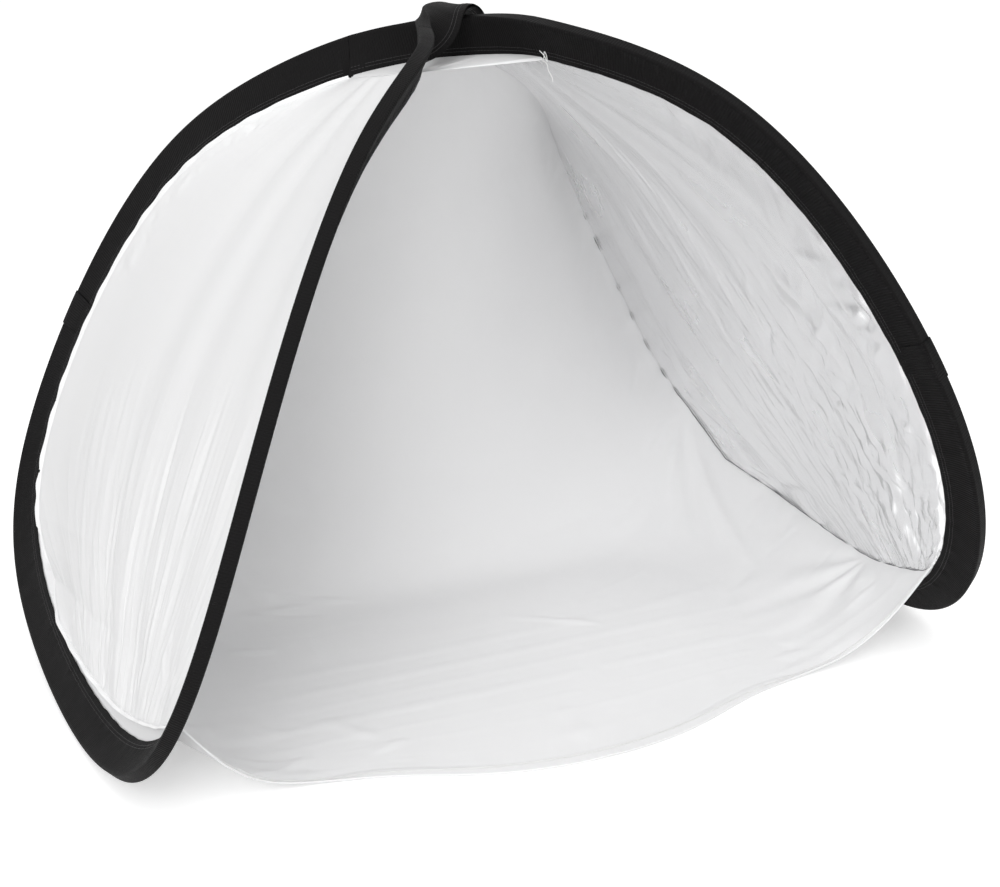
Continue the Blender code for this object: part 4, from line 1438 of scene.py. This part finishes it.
# %% Stitches of the hem
HEM_STITCH_RISE, HEM_STITCH_WAVE, HEM_STITCH_RADIUS = 0.00045, 0.00018, 0.00026
HEM_STITCH_END = 0.004
row = surface[-HEM_ROW]
length = run_lengths(row)
places = stitch_places(length[-1], HEM_STITCH_END)
path = at_places(places, length, row)
path[:, 2] += HEM_STITCH_RISE + HEM_STITCH_WAVE * stitch_arch(places)
upright = np.broadcast_to(np.array([0.0, 0.0, 1.0]), path.shape)
middle = int(np.argmin(np.abs(path[:, 0])))
for lobe, part in ((LEFT, slice(0, middle + 1)), (RIGHT, slice(middle, None))):
    thread = thread_tube(f"{lobe.name}_hem_stitches", path[part], upright[part], white_thread.material,
                         HEM_STITCH_RADIUS)
    held(thread, lobe, "white_cloth")
print("hem stitches:", round(length[-1] / STITCH))

# %% Tacks at the front notches
TACK_KNOTS = (
    (-0.0050, -0.0030), (-0.0015, 0.0010), (0.0026, 0.0026), (-0.0022, 0.0034), (-0.0048, 0.0020),
    (0.0006, -0.0002), (0.0028, -0.0024), (0.0034, 0.0008), (0.0060, 0.0022), (0.0095, 0.0020),
    (0.0140, 0.0044), (0.0175, 0.0040),
)
TACK_POINTS, TACK_RADIUS, TACK_PROUD = 90, 0.00035, 0.0020
for lobe in (LEFT, RIGHT):
    station = Station(lobe, FRONT_NOTCH)
    facing = outward(lobe, FRONT_NOTCH)
    knots = [station.origin + station.inward * (BINDING_DEPTH + depth) + station.along * shift - facing * TACK_PROUD
             for depth, shift in TACK_KNOTS]
    path = samples(free_spline(knots), TACK_POINTS)
    facings = np.broadcast_to(facing, path.shape)
    tack = thread_tube(f"{lobe.name}_notch_tack", path, facings, white_thread.material, TACK_RADIUS)
    held(tack, None, "white_cloth")

# %% [markdown]
# ## The gusset under the crossing
#
# A small roof of white cloth closes the gap between the notches. It hangs from the lower strand
# of the crossing and is drawn taut to the four notches. Its edges lap a little over the walls
# and the sweep, so that no daylight shows between them.

# %% Gusset
GUSSET_ROWS, GUSSET_LAP, GUSSET_PULL = 40, 0.0017, 0.0012
GUSSET_RISE = np.array([0.0, 0.0, 0.0006])
GUSSET_CREASE, GUSSET_SAG = 0.0005, 0.0012


def gusset_grids():
    stations = crown_line(LEFT, RIGHT, RING_STEP * 1.2)
    ridge = each(stations, "origin") + each(stations, "inward") * (BINDING_DEPTH + FABRIC + FIT)
    middle = ridge[len(ridge) // 2]
    corners = {(lobe.side, end): lobe.notch(share) for lobe in (LEFT, RIGHT)
               for end, share in (("front", FRONT_NOTCH), ("rear", REAR_NOTCH))}
    pulled = {key: corner + unit(middle - corner) * GUSSET_PULL for key, corner in corners.items()}
    ridge[0], ridge[-1] = pulled[-1, "rear"], pulled[1, "front"]
    shares = np.linspace(0.0, 1.0, GUSSET_ROWS)[:, None, None]
    arch = np.sin(np.pi * shares[:, 0])
    grids = []
    for tip, lapped in ((pulled[-1, "front"], 0), (pulled[1, "rear"], -1)):
        grid = ridge[None] * (1 - shares) + tip * shares
        away = unit(grid[0, lapped] + tip - 2 * middle)
        grid[:, lapped] += (away * GUSSET_LAP + GUSSET_RISE) * arch
        if lapped == -1:
            grid[:, 0] += (np.array([0, GUSSET_LAP, 0]) + GUSSET_RISE) * arch
        grids.append(grid)
    return grids


def gusset_sag(grid, seed):
    """Fine taut creases that run from the ridge to the tip, and a slight sag."""
    over = np.linspace(0, 1, grid.shape[1])[None, :]
    down = np.linspace(0, 1, grid.shape[0])[:, None]
    inside = np.sin(np.pi * over) * np.sin(np.pi * down)
    crease = GUSSET_CREASE * irregular(over * 0.3, seed, 0.02, 0.07) * inside
    sagged = grid.copy()
    sagged[..., 2] += crease - GUSSET_SAG * inside
    return sagged


grids = []
for seed, grid in zip((71, 72), gusset_grids()):
    grid = gusset_sag(grid, seed)
    grids.append((grid, run_lengths(grid[:, grid.shape[1] // 2]), run_lengths(grid[0])))
gusset = cloth("crown_gusset_cloth", grids, thin_cloth.material)
held(gusset, None, "white_cloth", "crown_gusset")

# %% [markdown]
# ## The floor and the light
#
# The tent stands on a plain white floor under large soft lamps. The floor is a shade below
# white, and a little glow lifts it to white, for the camera and in reflections only. The shadow
# that the tent casts stays visible. Beyond the floor the world is white too.

# %% Floor
FLOOR_REACH, FLOOR_DROP, FLOOR_GLOW = 40.0, 0.0002, 0.46
floor_mesh = bpy.data.meshes.new("studio_floor")
corners = [(x * FLOOR_REACH, y * FLOOR_REACH, -FLOOR_DROP) for x, y in ((-1, -1), (1, -1), (1, 1), (-1, 1))]
floor_mesh.from_pydata(corners, [], [(0, 1, 2, 3)])
floor = bpy.data.objects.new("studio_floor", floor_mesh)
bpy.context.scene.collection.objects.link(floor)

paper = bpy.data.materials.new("studio_paper")
paper.use_nodes = True
paper_shader = paper.node_tree.nodes["Principled BSDF"]
paper_shader.inputs["Base Color"].default_value = (0.86, 0.86, 0.86, 1.0)
paper_shader.inputs["Roughness"].default_value = 0.9
paper_shader.inputs["Emission Color"].default_value = (1.0, 1.0, 1.0, 1.0)


def seen_rays(tree):
    """1 for rays that come straight from the camera, or by way of a mirror or glass."""
    rays = tree.nodes.new("ShaderNodeLightPath")
    total = rays.outputs["Is Camera Ray"]
    for label in ("Is Glossy Ray", "Is Transmission Ray"):
        node = tree.nodes.new("ShaderNodeMath")
        node.operation = "MAXIMUM"
        tree.links.new(total, node.inputs[0])
        tree.links.new(rays.outputs[label], node.inputs[1])
        total = node.outputs[0]
    return total


glow = paper.node_tree.nodes.new("ShaderNodeMath")
glow.operation = "MULTIPLY"
glow.inputs[1].default_value = FLOOR_GLOW
paper.node_tree.links.new(seen_rays(paper.node_tree), glow.inputs[0])
paper.node_tree.links.new(glow.outputs[0], paper_shader.inputs["Emission Strength"])
floor_mesh.materials.append(paper)

# %% World
FILL = 0.60
world = bpy.data.worlds.new("white_studio")
bpy.context.scene.world = world
world.use_nodes = True
background = world.node_tree.nodes["Background"]
background.inputs["Color"].default_value = (1.0, 1.0, 1.0, 1.0)
strength = world.node_tree.nodes.new("ShaderNodeMapRange")
strength.inputs["To Min"].default_value = FILL
strength.inputs["To Max"].default_value = 1.0
world.node_tree.links.new(seen_rays(world.node_tree), strength.inputs["Value"])
world.node_tree.links.new(strength.outputs["Result"], background.inputs["Strength"])


# %% Lamps
def soft_lamp(name, place, aim, size, power):
    data = bpy.data.lights.new(name, "AREA")
    data.shape, data.size, data.size_y, data.energy = "RECTANGLE", size, size, power
    lamp = bpy.data.objects.new(name, data)
    lamp.location = place
    lamp.rotation_euler = (Vector(aim) - Vector(place)).to_track_quat("-Z", "Y").to_euler()
    bpy.context.scene.collection.objects.link(lamp)
    print(name, power, "W")


soft_lamp("key_lamp", (-0.35, -1.15, 2.2), (0.05, -0.05, 0.1), 1.9, 21)
soft_lamp("front_lamp", (-1.4, -2.0, 1.3), (0.10, 0.05, 0.10), 1.2, 25)
